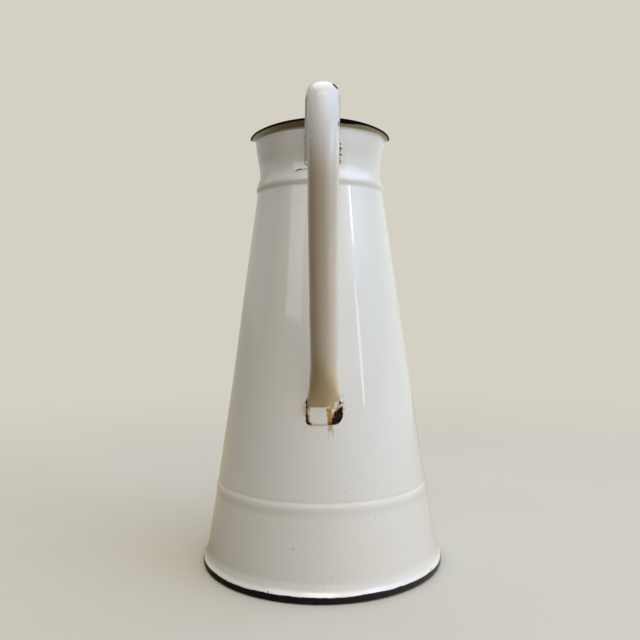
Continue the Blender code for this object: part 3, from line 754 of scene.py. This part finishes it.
# ---- shader tools ----
class Signal:
    """A node's output; arithmetic on it adds Math nodes."""

    def __init__(self, net, socket):
        self.net = net
        self.socket = socket

    def __add__(self, other):
        return self.net.calc("ADD", self, other)

    def __sub__(self, other):
        return self.net.calc("SUBTRACT", self, other)

    def __rsub__(self, other):
        return self.net.calc("SUBTRACT", other, self)

    def __mul__(self, other):
        return self.net.calc("MULTIPLY", self, other)

    def __rmul__(self, other):
        return self.net.calc("MULTIPLY", other, self)

    def __truediv__(self, other):
        return self.net.calc("DIVIDE", self, other)

    def step(self, zero, one):
        """A smooth step from 0 where the signal is at zero to 1 where it is at one."""
        return self.net.signal(
            "ShaderNodeMapRange", {"Value": self, "From Min": zero, "From Max": one},
            interpolation_type="SMOOTHSTEP")


class Net:
    """A node tree, with short ways to add the nodes used below."""

    def __init__(self, tree, output="ShaderNodeOutputMaterial", coords="Object"):
        self.tree = tree
        tree.nodes.clear()
        self.out = self.node(output)
        self.coords = self.signal("ShaderNodeTexCoord", output=coords)

    def put(self, socket, value):
        if isinstance(value, Signal):
            self.tree.links.new(value.socket, socket)
        else:
            socket.default_value = value

    def node(self, kind, inputs=None, **settings):
        node = self.tree.nodes.new(kind)
        for key, value in settings.items():
            setattr(node, key, value)
        for key, value in (inputs or {}).items():
            self.put(node.inputs[key], value)
        return node

    def signal(self, kind, inputs=None, output=0, **settings):
        return Signal(self, self.node(kind, inputs, **settings).outputs[output])

    def calc(self, operation, first, second=0.0, clamp=False):
        return self.signal(
            "ShaderNodeMath", {0: first, 1: second, 2: 0.0}, operation=operation, use_clamp=clamp)

    def vector(self, operation, first, second=(0, 0, 0), scale=None):
        inputs = {0: first, 1: second}
        if scale is not None:
            inputs["Scale"] = scale
        output = "Value" if operation in ("DISTANCE", "LENGTH", "DOT_PRODUCT") else 0
        return self.signal("ShaderNodeVectorMath", inputs, output, operation=operation)

    def noise(self, scale, detail, roughness=0.5, vector=None, output="Fac"):
        return self.signal("ShaderNodeTexNoise", {
            "Vector": vector or self.coords, "Scale": scale, "Detail": detail,
            "Roughness": roughness,
        }, output)

    def mix(self, factor, first, second):
        """A colour between two, each a signal or an RGB tuple."""
        first, second = (
            (*colour, 1.0) if isinstance(colour, tuple) else colour for colour in (first, second))
        return self.signal(
            "ShaderNodeMix", {"Factor": factor, "A": first, "B": second}, "Result",
            data_type="RGBA")

    def blend(self, factor, first, second):
        """A number between two."""
        return self.signal(
            "ShaderNodeMix", {"Factor": factor, "A": first, "B": second}, "Result",
            data_type="FLOAT")

    def union(self, masks):
        total = masks[0]
        for mask in masks[1:]:
            total = self.calc("MAXIMUM", total, mask)
        return total

    def attribute(self, name):
        return self.signal("ShaderNodeAttribute", output="Fac", attribute_name=name)

    def bump(self, height, distance):
        return self.signal("ShaderNodeBump", {"Distance": distance, "Height": height})

    def mix_shader(self, factor, first, second):
        return self.signal("ShaderNodeMixShader", {0: factor, 1: first, 2: second})

    def by_ray(self, camera, others):
        """One shader for camera rays and another for all the rest."""
        is_camera = self.signal("ShaderNodeLightPath", output="Is Camera Ray")
        return self.mix_shader(is_camera, others, camera)

    def surface(self, shader):
        self.put(self.out.inputs["Surface"], shader)

    @cached_property
    def xyz(self):
        node = self.node("ShaderNodeSeparateXYZ", {0: self.coords})
        return [Signal(self, socket) for socket in node.outputs]

    @cached_property
    def shaken(self):
        """The coordinates shaken by fine noise, for ragged outlines."""
        shake = self.noise(scale=900.0, detail=2.0, output="Color")
        shake = self.vector("SUBTRACT", shake, (0.5, 0.5, 0.5))
        return self.vector("ADD", self.coords, self.vector("SCALE", shake, scale=0.0011))


def new_material(name):
    material = bpy.data.materials.new(name)
    material.use_nodes = True
    return material, Net(material.node_tree)


# ---- enamel ----
WHITE = (0.785, 0.763, 0.733)


def on_wall(degrees, z):
    """A point on the jug's wall, in metres, by azimuth from the handle and height in mm."""
    if z < BAND_TOP:
        radius = float(np.interp(z, BAND_FACE[::-1, 1], BAND_FACE[::-1, 0]))
    else:
        radius = float(wall_r(z))
    azimuth = math.radians(degrees)
    return radius * math.sin(azimuth) * MM, -radius * math.cos(azimuth) * MM, z * MM


def glass_colour(net, tint, pits, dirt, foot_grime):
    """Sound enamel: clouded white with pin holes, under a film of dirt."""
    cloud = net.noise(scale=9.0, detail=1.0)
    fine = net.noise(scale=160.0, detail=3.0, roughness=0.6)
    warmer = tuple(part * share for part, share in zip(tint, (0.990, 0.986, 0.978)))
    colour = net.mix(cloud.step(zero=0.20, one=0.80), tint, warmer)
    colour = net.mix(fine.step(zero=0.50, one=0.85) * 0.05, colour, (0.60, 0.58, 0.53))
    colour = net.mix(pits * 0.55, colour, (0.16, 0.13, 0.10))
    if foot_grime:
        patches = net.noise(scale=70.0, detail=4.0, roughness=0.6).step(zero=0.40, one=0.75)
        grime = net.xyz[2].step(zero=0.016, one=0.004) * patches
        colour = net.mix(grime * 0.16, colour, (0.48, 0.42, 0.34))
    film = net.noise(scale=11.0, detail=1.5).step(zero=0.25, one=0.95) * dirt
    return net.mix(film * 0.12, colour, (0.56, 0.51, 0.43))


def stained(net, colour, stains):
    """Adds rust runs and tea-brown stains on the handle's side."""
    x, y, z = net.xyz
    masks = [0.0]
    for degrees, stain_z, half_width, half_height, strength in stains:
        centre = on_wall(degrees, stain_z)
        across = (x - centre[0]) / (half_width * MM)
        up = (z - centre[2]) / (half_height * MM)
        away = net.calc("SQRT", across * across + up * up)
        away = away + (net.noise(scale=420.0, detail=4.0, roughness=0.7) - 0.5) * 1.5
        near = away.step(zero=1.15, one=0.35) * y.step(zero=0.0, one=-0.02)
        masks.append(near * strength)
    brown = net.noise(scale=260.0, detail=3.0, roughness=0.6)
    return net.mix(net.union(masks), colour, net.mix(brown, (0.42, 0.24, 0.06), (0.62, 0.43, 0.15)))


def stroke_distance(net, point, start, end):
    """Distance from point to the straight stroke between two places."""
    from_start = net.vector("SUBTRACT", point, tuple(start))
    stroke = end - start
    along = net.vector("DOT_PRODUCT", from_start, tuple(stroke))
    along = net.calc("MULTIPLY", along, 1.0 / stroke.length_squared, clamp=True)
    nearest = net.vector("SCALE", tuple(stroke), scale=along)
    return net.vector("LENGTH", net.vector("SUBTRACT", from_start, nearest))


def bare_masks(net, chips, cracks, marks):
    """Masks of the spots where the white coat is gone."""
    masks = []
    for degrees, z, radius in chips:
        away = net.vector("DISTANCE", net.shaken, on_wall(degrees, z))
        masks.append(away.step(zero=radius * MM * 1.08, one=radius * MM * 0.86))
    for start, end, radius in cracks:
        away = stroke_distance(net, net.shaken, Vector(on_wall(*start)), Vector(on_wall(*end)))
        masks.append(away.step(zero=radius * MM * 1.15, one=radius * MM * 0.7))
    for start, end, radius in marks:                          # seen flat, from the handle's side
        flat = net.vector("MULTIPLY", net.shaken, (1.0, 0.0, 1.0))
        ends = [Vector((x, 0.0, z)) * MM for x, z in (start, end)]
        near = stroke_distance(net, flat, *ends).step(zero=radius * MM * 1.1, one=radius * MM * 0.8)
        masks.append(near * net.xyz[1].step(zero=-0.076, one=-0.080))
    return masks


def rusted(net, colour):
    """Adds the rust held in the mesh's rust attribute."""
    rust = net.attribute("rust")
    tone = net.noise(scale=620.0, detail=4.0, roughness=0.65).step(zero=0.3, one=0.7)
    rust_colour = net.mix(tone, (0.34, 0.15, 0.015), (0.62, 0.36, 0.06))
    rust_colour = net.mix(rust.step(zero=1.05, one=1.45), rust_colour, (0.16, 0.045, 0.012))
    uneven = (net.noise(scale=900.0, detail=4.0, roughness=0.7) - 0.5) * 0.9
    return net.mix((rust + uneven).step(zero=0.25, one=0.80) * 0.97, colour, rust_colour)


def enamel_height(net, pits, bare):
    """Sheet waves, orange peel, pits and bare spots, as heights in metres."""
    upright = net.vector("MULTIPLY", net.coords, (46.0, 46.0, 3.2))
    height = net.noise(scale=15.0, detail=0.0) * 0.00020
    height = height + net.noise(scale=1.0, detail=0.0, vector=upright) * 0.00013
    height = height + net.noise(scale=330.0, detail=0.0) * 0.0000022
    height = height - pits * 0.00003
    if bare:
        rough = net.noise(scale=1300.0, detail=4.0, roughness=0.7) * 0.00010
        height = height + bare * (rough - 0.00022)
    return height


def paint(piece, name, tint=WHITE, dirt=0.35, foot_grime=False, painted_shade_bands=(), under=None, stains=(),
          chips=(), cracks=(), marks=(), specks=(), navy=None, worn=False):
    """Vitreous enamel on sheet steel, with dark ground coat and rust where it is damaged.

    Places are (azimuth in degrees, z in mm), except that marks have (x, z) ends.
    painted_shade_bands: painted shade, (z low, z high, colour) in metres; below each band the colour
    turns to the given one. stains: (degrees, z, half width, half height, strength). chips: (degrees,
    z, radius). cracks and marks: (start, end, radius).
    specks: (degrees, z, radius, strength). under: painted shade, the dim brown colour given to faces
    that look down.
    navy: a function giving the navy mask. worn: use the mesh's chip and rust attributes.
    """
    material, net = new_material(name)
    cells = net.signal(
        "ShaderNodeTexVoronoi", {"Vector": net.coords, "Scale": 95.0}, "Distance", feature="F1")
    pits = cells.step(zero=0.055, one=0.03)
    pits = pits * net.noise(scale=41.0, detail=1.0).step(zero=0.66, one=0.70)
    colour = glass_colour(net, tint, pits, dirt, foot_grime)
    # Painted shade: the colour browns below each band's height, standing in for shade and the brown
    # floor's reflection.
    for low, high, shade in painted_shade_bands:                             # browned below a height
        level = net.xyz[2] + net.noise(scale=13.0, detail=1.0) * 0.012
        colour = net.mix(level.step(zero=high, one=low), colour, shade)
    # Painted shade: faces that look down take a dim brown, standing in for the shade and the floor's
    # brown bounce under the lip.
    if under is not None:
        normal = net.signal("ShaderNodeNewGeometry", output="Normal")
        facing = net.signal("ShaderNodeSeparateXYZ", {0: normal}, output=2)
        facing = facing + net.noise(scale=60.0, detail=2.0) * 0.15
        colour = net.mix(facing.step(zero=-0.05, one=-0.55) * 0.92, colour, under)
    if stains:
        colour = stained(net, colour, stains)

    masks = bare_masks(net, chips, cracks, marks)
    if worn:
        grain = (net.noise(scale=1500.0, detail=3.0, roughness=0.7) - 0.5) * 0.5
        masks.append((net.attribute("chip") + grain).step(zero=0.42, one=0.58))
        colour = rusted(net, colour)
    bare = net.union(masks) if masks else None
    if specks:
        colour = net.mix(net.union([
            net.vector("DISTANCE", net.shaken, on_wall(degrees, z)).step(
                zero=radius * MM * 1.3, one=radius * MM * 0.5) * strength
            for degrees, z, radius, strength in specks
        ]), colour, (0.12, 0.11, 0.10))

    gloss = net.blend(net.noise(scale=19.0, detail=2.0).step(zero=0.2, one=0.8), 0.10, 0.15)
    coat, sheen = 1.0, 0.5
    if navy is not None:
        edge = navy(net)
        depth = net.noise(scale=210.0, detail=3.0, roughness=0.6).step(zero=0.35, one=0.7)
        colour = net.mix(edge, colour, net.mix(
            depth, (0.0022, 0.0026, 0.0090), (0.0050, 0.0055, 0.0220)))
        coat = 1.0 - edge * 0.96
        if not bare:
            sheen = 0.5 - edge * 0.485
    if bare:
        tone = net.noise(scale=520.0, detail=4.0, roughness=0.7).step(zero=0.48, one=0.72)
        iron = net.mix(tone, (0.012, 0.0035, 0.0045), (0.12, 0.032, 0.030))
        colour = net.mix(bare, colour, iron)
        rough = net.blend(net.noise(scale=500.0, detail=2.0, roughness=0.55), 0.45, 0.8)
        gloss = net.blend(bare, gloss, rough)
        coat = coat * (1.0 - bare * 0.97)
        sheen = 0.5 - bare * 0.38

    normal = net.bump(enamel_height(net, pits, bare), distance=1.0)
    net.surface(net.signal("ShaderNodeBsdfPrincipled", {
        "Base Color": colour, "Roughness": gloss + 0.19, "Specular IOR Level": sheen,
        "IOR": 1.52, "Coat Weight": coat, "Coat Roughness": gloss * 0.38, "Coat IOR": 1.55,
        "Normal": normal, "Coat Normal": normal,
    }))
    piece.data.materials.append(material)


def foot_navy(net):
    """Navy on the rolled edge, with a wandering upper border."""
    wander = (net.noise(scale=38.0, detail=3.0, roughness=0.6) - 0.5) * 0.0022
    ragged = (net.noise(scale=420.0, detail=3.0, roughness=0.6) - 0.5) * 0.0007
    return (net.xyz[2] + (wander + ragged)).step(zero=0.00590, one=0.00555)


def lip_navy(net):
    """Navy along the lip's edge, wider beside the handle on the right."""
    x, y, _ = net.xyz
    edge = net.calc("ABSOLUTE", net.attribute("edge_mm"))
    ragged = (net.noise(scale=260.0, detail=3.0, roughness=0.6) - 0.5) * 0.9
    wide = x.step(zero=0.040, one=0.016) * x.step(zero=0.0, one=0.012)
    wide = wide * y.step(zero=-0.01, one=-0.03)
    limit = net.calc("ADD", 1.2, wide * 2.4)
    return (edge + ragged - limit).step(zero=0.15, one=-0.15)


paint(
    body, "enamel_body",
    specks=[
        (9.8, 79.7, 0.55, 0.5), (10.4, 112.6, 0.6, 0.35), (-16.9, 190.0, 0.7, 0.35),
        (-27.3, 343.4, 0.8, 0.4), (21.0, 205.0, 0.45, 0.3), (-40.0, 150.0, 0.5, 0.35),
        (36.0, 118.0, 0.45, 0.3), (10.6, 146.5, 0.75, 0.8), (10.9, 141.5, 0.7, 0.8),
        (10.5, 138.0, 0.6, 0.8), (10.4, 151.5, 0.55, 0.7), (11.3, 144.2, 0.45, 0.7),
        (-10.3, 147.0, 0.7, 0.7), (-10.9, 143.0, 0.65, 0.6), (-10.3, 137.5, 0.7, 0.7),
        (-10.6, 140.4, 0.5, 0.7), (-11.6, 145.2, 0.4, 0.5),
    ],
    cracks=[((-20.7, 308.9), (-15.5, 305.3), 0.16)],
    stains=[
        (3.2, 127.5, 2.6, 4.2, 0.80), (4.6, 124.0, 1.0, 5.0, 0.45), (2.4, 121.5, 0.8, 3.4, 0.35),
        (-9.6, 128.0, 2.2, 2.0, 0.16), (-10.6, 142.0, 3.2, 6.5, 0.42),
        (-12.6, 139.5, 5.0, 4.0, 0.18), (3.4, 129.4, 2.2, 1.6, 0.75),
    ],
)
paint(
    band, "enamel_foot", navy=foot_navy, foot_grime=True,
    specks=[(-14.6, 38.4, 0.6, 0.6), (24.2, 58.4, 0.6, 0.6), (2.7, 19.9, 0.6, 0.6),
            (-33.0, 24.0, 0.4, 0.4)],
    chips=[(-24.6, 6.5, 0.55), (56.7, 6.7, 0.55), (61.0, 4.6, 0.7), (-47.0, 4.4, 0.6)],
)
paint(
    collar, "enamel_neck",
    cracks=[((-12.9, 333.4), (-18.9, 333.5), 0.40), ((-18.2, 333.5), (-21.3, 333.1), 0.62),
            ((-21.0, 333.1), (-22.9, 331.7), 0.42)],
    specks=[(-27.3, 343.4, 0.8, 0.45), (-24.0, 346.0, 0.5, 0.3)],
    chips=[(16.6, 353.4, 0.45), (17.4, 345.0, 0.35)],
)
# The lip's downward faces get painted shade.
paint(lip, "enamel_lip", navy=lip_navy, under=(0.26, 0.215, 0.115))
paint(pan, "enamel_bottom", tint=(0.74, 0.735, 0.71), dirt=0.9)
paint(
    handle, "enamel_handle", tint=(0.80, 0.79, 0.79), dirt=0.2,
    # painted shade: the handle turns browner below these two heights
    painted_shade_bands=[(0.322, 0.358, (0.65, 0.555, 0.445)), (0.160, 0.196, (0.84, 0.70, 0.48))],
    marks=[((8.6, 390.3), (10.9, 388.0), 1.10), ((12.0, 360.4), (12.2, 358.0), 0.50)],
)
paint(strip, "enamel_strip", dirt=0.5)
paint(lower_tab, "enamel_tab_low", tint=(0.79, 0.76, 0.72), worn=True, dirt=0.7)
paint(upper_tab, "enamel_tab_high", worn=True, dirt=0.4)


# ---- the foot wire's steel ----
def wire_steel():
    material, net = new_material("wire_steel")
    stretched = net.vector("MULTIPLY", net.coords, (1.0, 1.0, 9.0))
    drawn = net.noise(scale=240.0, detail=4.0, roughness=0.6, vector=stretched)
    rust = net.noise(scale=150.0, detail=5.0, roughness=0.65).step(zero=0.48, one=0.62)
    net.surface(net.signal("ShaderNodeBsdfPrincipled", {
        "Base Color": net.mix(rust, (0.32, 0.31, 0.30), (0.16, 0.06, 0.02)),
        "Metallic": 1.0 - rust,
        "Roughness": net.blend(drawn, 0.35, 0.65),
        "Normal": net.bump(drawn, distance=0.00003),
    }))
    return material


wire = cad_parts["foot_wire"]
wire.data.materials.clear()
wire.data.materials.append(wire_steel())


# ---- the room ----
# What reflections and bounced light see: RGB at each azimuth of ROOM_TURNS (straight behind the
# jug, by the left, the handle's side, the right), in bands from the floor up. Camera rays see
# only the plain backdrop.
DARK = (0.03, 0.02, 0.02)
ROOM = {
    "skirting": [
        (0.54, 0.55, 0.42), (0.38, 0.35, 0.27), *[DARK] * 5, (0.11, 0.12, 0.12),
        (0.26, 0.32, 0.34), (0.47, 0.50, 0.56), (0.64, 0.63, 0.54), (0.86, 0.86, 0.72),
    ],
    "table": [
        (0.52, 0.52, 0.40), (0.50, 0.52, 0.48), *[DARK] * 5, (0.48, 0.52, 0.35),
        (0.22, 0.22, 0.30), (0.05, 0.05, 0.07), (0.53, 0.60, 0.55), (0.92, 0.96, 0.82),
    ],
    "wall": [
        (0.42, 0.43, 0.40), (0.19, 0.19, 0.16), *[DARK] * 3, (0.15, 0.13, 0.09),
        (0.22, 0.19, 0.13), (0.66, 0.65, 0.42), (0.74, 0.80, 0.93), (0.80, 0.99, 1.22),
        (0.51, 0.63, 0.67), (0.59, 0.62, 0.56),
    ],
    "cornice": [
        (0.31, 0.35, 0.49), (0.12, 0.11, 0.10), *[DARK] * 3, (0.81, 0.75, 0.56),
        (1.63, 1.62, 1.38), (2.06, 2.13, 2.12), (1.72, 1.84, 2.12), (1.33, 1.55, 2.12),
        (1.11, 1.35, 2.12), (0.60, 0.72, 1.12),
    ],
    "ceiling": [(1.96, 1.86, 1.65)] * 12,
}
FLOOR_GLOW = [
    (0.40, 0.40, 0.26), (0.45, 0.40, 0.27), (0.22, 0.15, 0.08), (0.09, 0.06, 0.03),
    (0.08, 0.055, 0.025), (0.12, 0.08, 0.035), (0.22, 0.15, 0.07), (0.35, 0.27, 0.13),
    (0.52, 0.42, 0.22), (0.53, 0.43, 0.30), (0.60, 0.53, 0.38), (0.55, 0.52, 0.41),
]
# The last turn closes the circle with the first colour.
ROOM_TURNS = [-180, -135, -90, -65, -42, -20, 0, 20, 42, 65, 90, 135, 180]
ROOM_EDGES = [(0.06, 0.14), (0.24, 0.36), (0.50, 0.62), (0.78, 0.90)]  # sine of elevation
ROOM_GAIN = 8.0        # ramp colours are divided by this, and the strength makes it good
BACKDROP = (0.658, 0.631, 0.552)
FLOOR_PALE = (0.62, 0.595, 0.53)


def direction_ramp(net, name, colours):
    """A colour by azimuth, blended between stops round the jug."""
    x, y, _ = net.xyz
    turn = net.calc("ARCTAN2", x, y * -1.0) * (0.5 / math.pi) + 0.5
    ramp = net.node("ShaderNodeValToRGB", {0: turn}, name=name)
    stops = ramp.color_ramp.elements
    while len(stops) < len(ROOM_TURNS):
        stops.new(0.5)
    for k, degrees in enumerate(ROOM_TURNS):
        stops[k].position = (degrees + 180.0) / 360.0
    for k, colour in enumerate(colours + colours[:1]):
        stops[k].color = (*(part / ROOM_GAIN for part in colour), 1.0)
    return Signal(net, ramp.outputs["Color"])


def floor_material():
    """Pale to the camera; a warm wooden glow in reflections and bounce."""
    material, net = new_material("floor_pale")
    patches = net.noise(scale=5.0, detail=3.0).step(zero=0.3, one=0.7)
    darker = tuple(part * 0.975 for part in FLOOR_PALE)
    pale = net.signal("ShaderNodeBsdfPrincipled", {
        "Base Color": net.mix(patches, FLOOR_PALE, darker),
        "Roughness": 0.75, "Specular IOR Level": 0.2,
    })
    glow = net.signal("ShaderNodeEmission", {
        "Color": direction_ramp(net, "floor_glow", FLOOR_GLOW), "Strength": ROOM_GAIN})
    fade = net.vector("LENGTH", net.coords).step(zero=0.25, one=1.3)
    clear = net.signal("ShaderNodeBsdfTransparent")
    net.surface(net.by_ray(camera=net.mix_shader(fade, pale, clear), others=glow))
    material.cycles.emission_sampling = "NONE"
    return material


def build_floor():
    """A floor disc just under z = 0."""
    rings, count = (60, 130, 250, 500, 1000, 1600), 96
    points = [(0.0, 0.0, -0.00005)]
    for radius in rings:
        for k in range(count):
            angle = 2 * math.pi * k / count
            x, y = radius * math.cos(angle), radius * math.sin(angle)
            points.append((x * MM, y * MM, -0.00005))
    faces = [(0, 1 + k, 1 + (k + 1) % count) for k in range(count)]
    for ring in range(len(rings) - 1):
        for k in range(count):
            here, beside = 1 + ring * count + k, 1 + ring * count + (k + 1) % count
            faces.append((here, here + count, beside + count, beside))
    mesh = bpy.data.meshes.new("floor")
    mesh.from_pydata(points, [], faces)
    return add_object("floor", mesh)


floor = build_floor()
floor.data.materials.append(floor_material())


def build_world():
    world = bpy.data.worlds.new("studio")
    bpy.context.scene.world = world
    world.use_nodes = True
    net = Net(world.node_tree, output="ShaderNodeOutputWorld", coords="Generated")
    bands = [direction_ramp(net, "room_" + height, colours) for height, colours in ROOM.items()]
    room = bands[0]
    for above, (low, high) in zip(bands[1:], ROOM_EDGES):
        room = net.mix(net.xyz[2].step(zero=low, one=high), room, above)
    lit = net.signal("ShaderNodeBackground", {"Color": room, "Strength": ROOM_GAIN})
    plain = net.signal("ShaderNodeBackground", {"Color": (*BACKDROP, 1.0)})
    net.surface(net.by_ray(camera=plain, others=lit))


build_world()

# ---- lights ----
LAMP_AIM = Vector((0, 0, 0.2))
# name, azimuth, elevation, distance, width, height, power, colour, lights the handle and lip too
LAMPS = [
    ("window", 66.0, 24.0, 1.7, 0.9, 1.1, 1.75, (0.34, 0.54, 0.95), True),
    ("window_core", 70.0, 20.0, 1.7, 0.12, 0.16, 2.4, (0.36, 0.53, 0.86), True),
    ("strip_high", 53.0, 27.0, 1.6, 0.055, 0.26, 0.55, (0.92, 0.97, 1.0), True),
    ("strip_low", 50.0, 11.0, 1.6, 0.03, 0.36, 0.30, (0.92, 0.97, 1.0), True),
    ("fill_left", -40.0, 27.0, 1.7, 0.7, 0.8, 2.75, (0.78, 0.82, 0.90), False),
    ("fill_front", -6.0, 33.0, 1.7, 0.9, 0.5, 5.37, (0.95, 0.97, 0.92), False),
    ("fill_side", -105.0, 22.0, 1.7, 0.9, 0.9, 0.48, (0.53, 0.92, 1.00), False),
]


def aim_light(light, target, offset):
    light.location = target + offset
    light.rotation_euler = (target - light.location).to_track_quat("-Z", "Y").to_euler()


def area(name, azimuth, elevation, distance, width, height, power, colour):
    """A soft light aimed at the jug."""
    data = bpy.data.lights.new(name, "AREA")
    data.shape = "RECTANGLE"
    data.size, data.size_y = width, height
    data.energy = power
    data.color = colour
    made = add_object(name, data)
    turn, rise = math.radians(azimuth), math.radians(elevation)
    way = Vector((
        math.sin(turn) * math.cos(rise), -math.cos(turn) * math.cos(rise), math.sin(rise)))
    aim_light(made, LAMP_AIM, way * distance)
    return made


def group(name, pieces):
    made = bpy.data.collections.new(name)
    for piece in pieces:
        made.objects.link(piece)
    return made


def build_spot():
    """A soft spot from the left on the part of the handle above the lip."""
    data = bpy.data.lights.new("spot_top", "SPOT")
    data.energy = 9.0
    data.color = (0.93, 0.96, 1.0)
    data.spot_size = math.radians(9.0)
    data.spot_blend = 1.0
    data.shadow_soft_size = 0.03
    made = add_object("spot_top", data)
    turn = math.radians(-62.0)
    way = Vector((math.sin(turn) * 0.9, -math.cos(turn) * 0.9, 0.42))
    aim_light(made, Vector((0.0, -0.085, 0.402)), way * 0.8)
    made.visible_glossy = False
    return made


walls_only = group("walls_only", (body, band, collar, pan, lower_tab, upper_tab))
blocking = group("blocking", (body, band, collar, lip))
for name, *settings, on_handle in LAMPS:
    lamp = area(name, *settings)
    lamp.visible_glossy = name != "window_core"
    if not on_handle:
        lamp.light_linking.receiver_collection = walls_only
        lamp.light_linking.blocker_collection = blocking

spot = build_spot()
bar = area("bar", azimuth=-4.0, elevation=47.0, distance=1.6, width=1.3, height=0.10,
           power=0.9, colour=(0.97, 0.98, 1.0))
handle_only = group("handle_only", (handle, strip))
for lamp in (spot, bar):
    lamp.light_linking.receiver_collection = handle_only

# ---- camera ----
TURN, PITCH, ROLL = math.radians(1.4), math.radians(0.7), math.radians(0.33)
DISTANCE = 0.58275     # from the jug's axis
EYE = 0.2170           # height


def build_camera():
    data = bpy.data.cameras.new("camera")
    data.sensor_width = 36.0
    data.lens = 36.5625
    data.shift_x = -0.0015625
    data.clip_start, data.clip_end = 0.01, 50.0
    made = add_object("camera", data)
    made.location = (-DISTANCE * math.sin(TURN), -DISTANCE * math.cos(TURN), EYE)
    look = Vector((
        math.sin(TURN) * math.cos(PITCH), math.cos(TURN) * math.cos(PITCH), -math.sin(PITCH)))
    made.rotation_mode = "QUATERNION"
    made.rotation_quaternion = look.to_track_quat("-Z", "Y") @ Quaternion((0, 0, 1), -ROLL)
    return made


scene = bpy.context.scene
scene.camera = build_camera()
scene.view_settings.view_transform = "Standard"
scene.view_settings.look = "None"
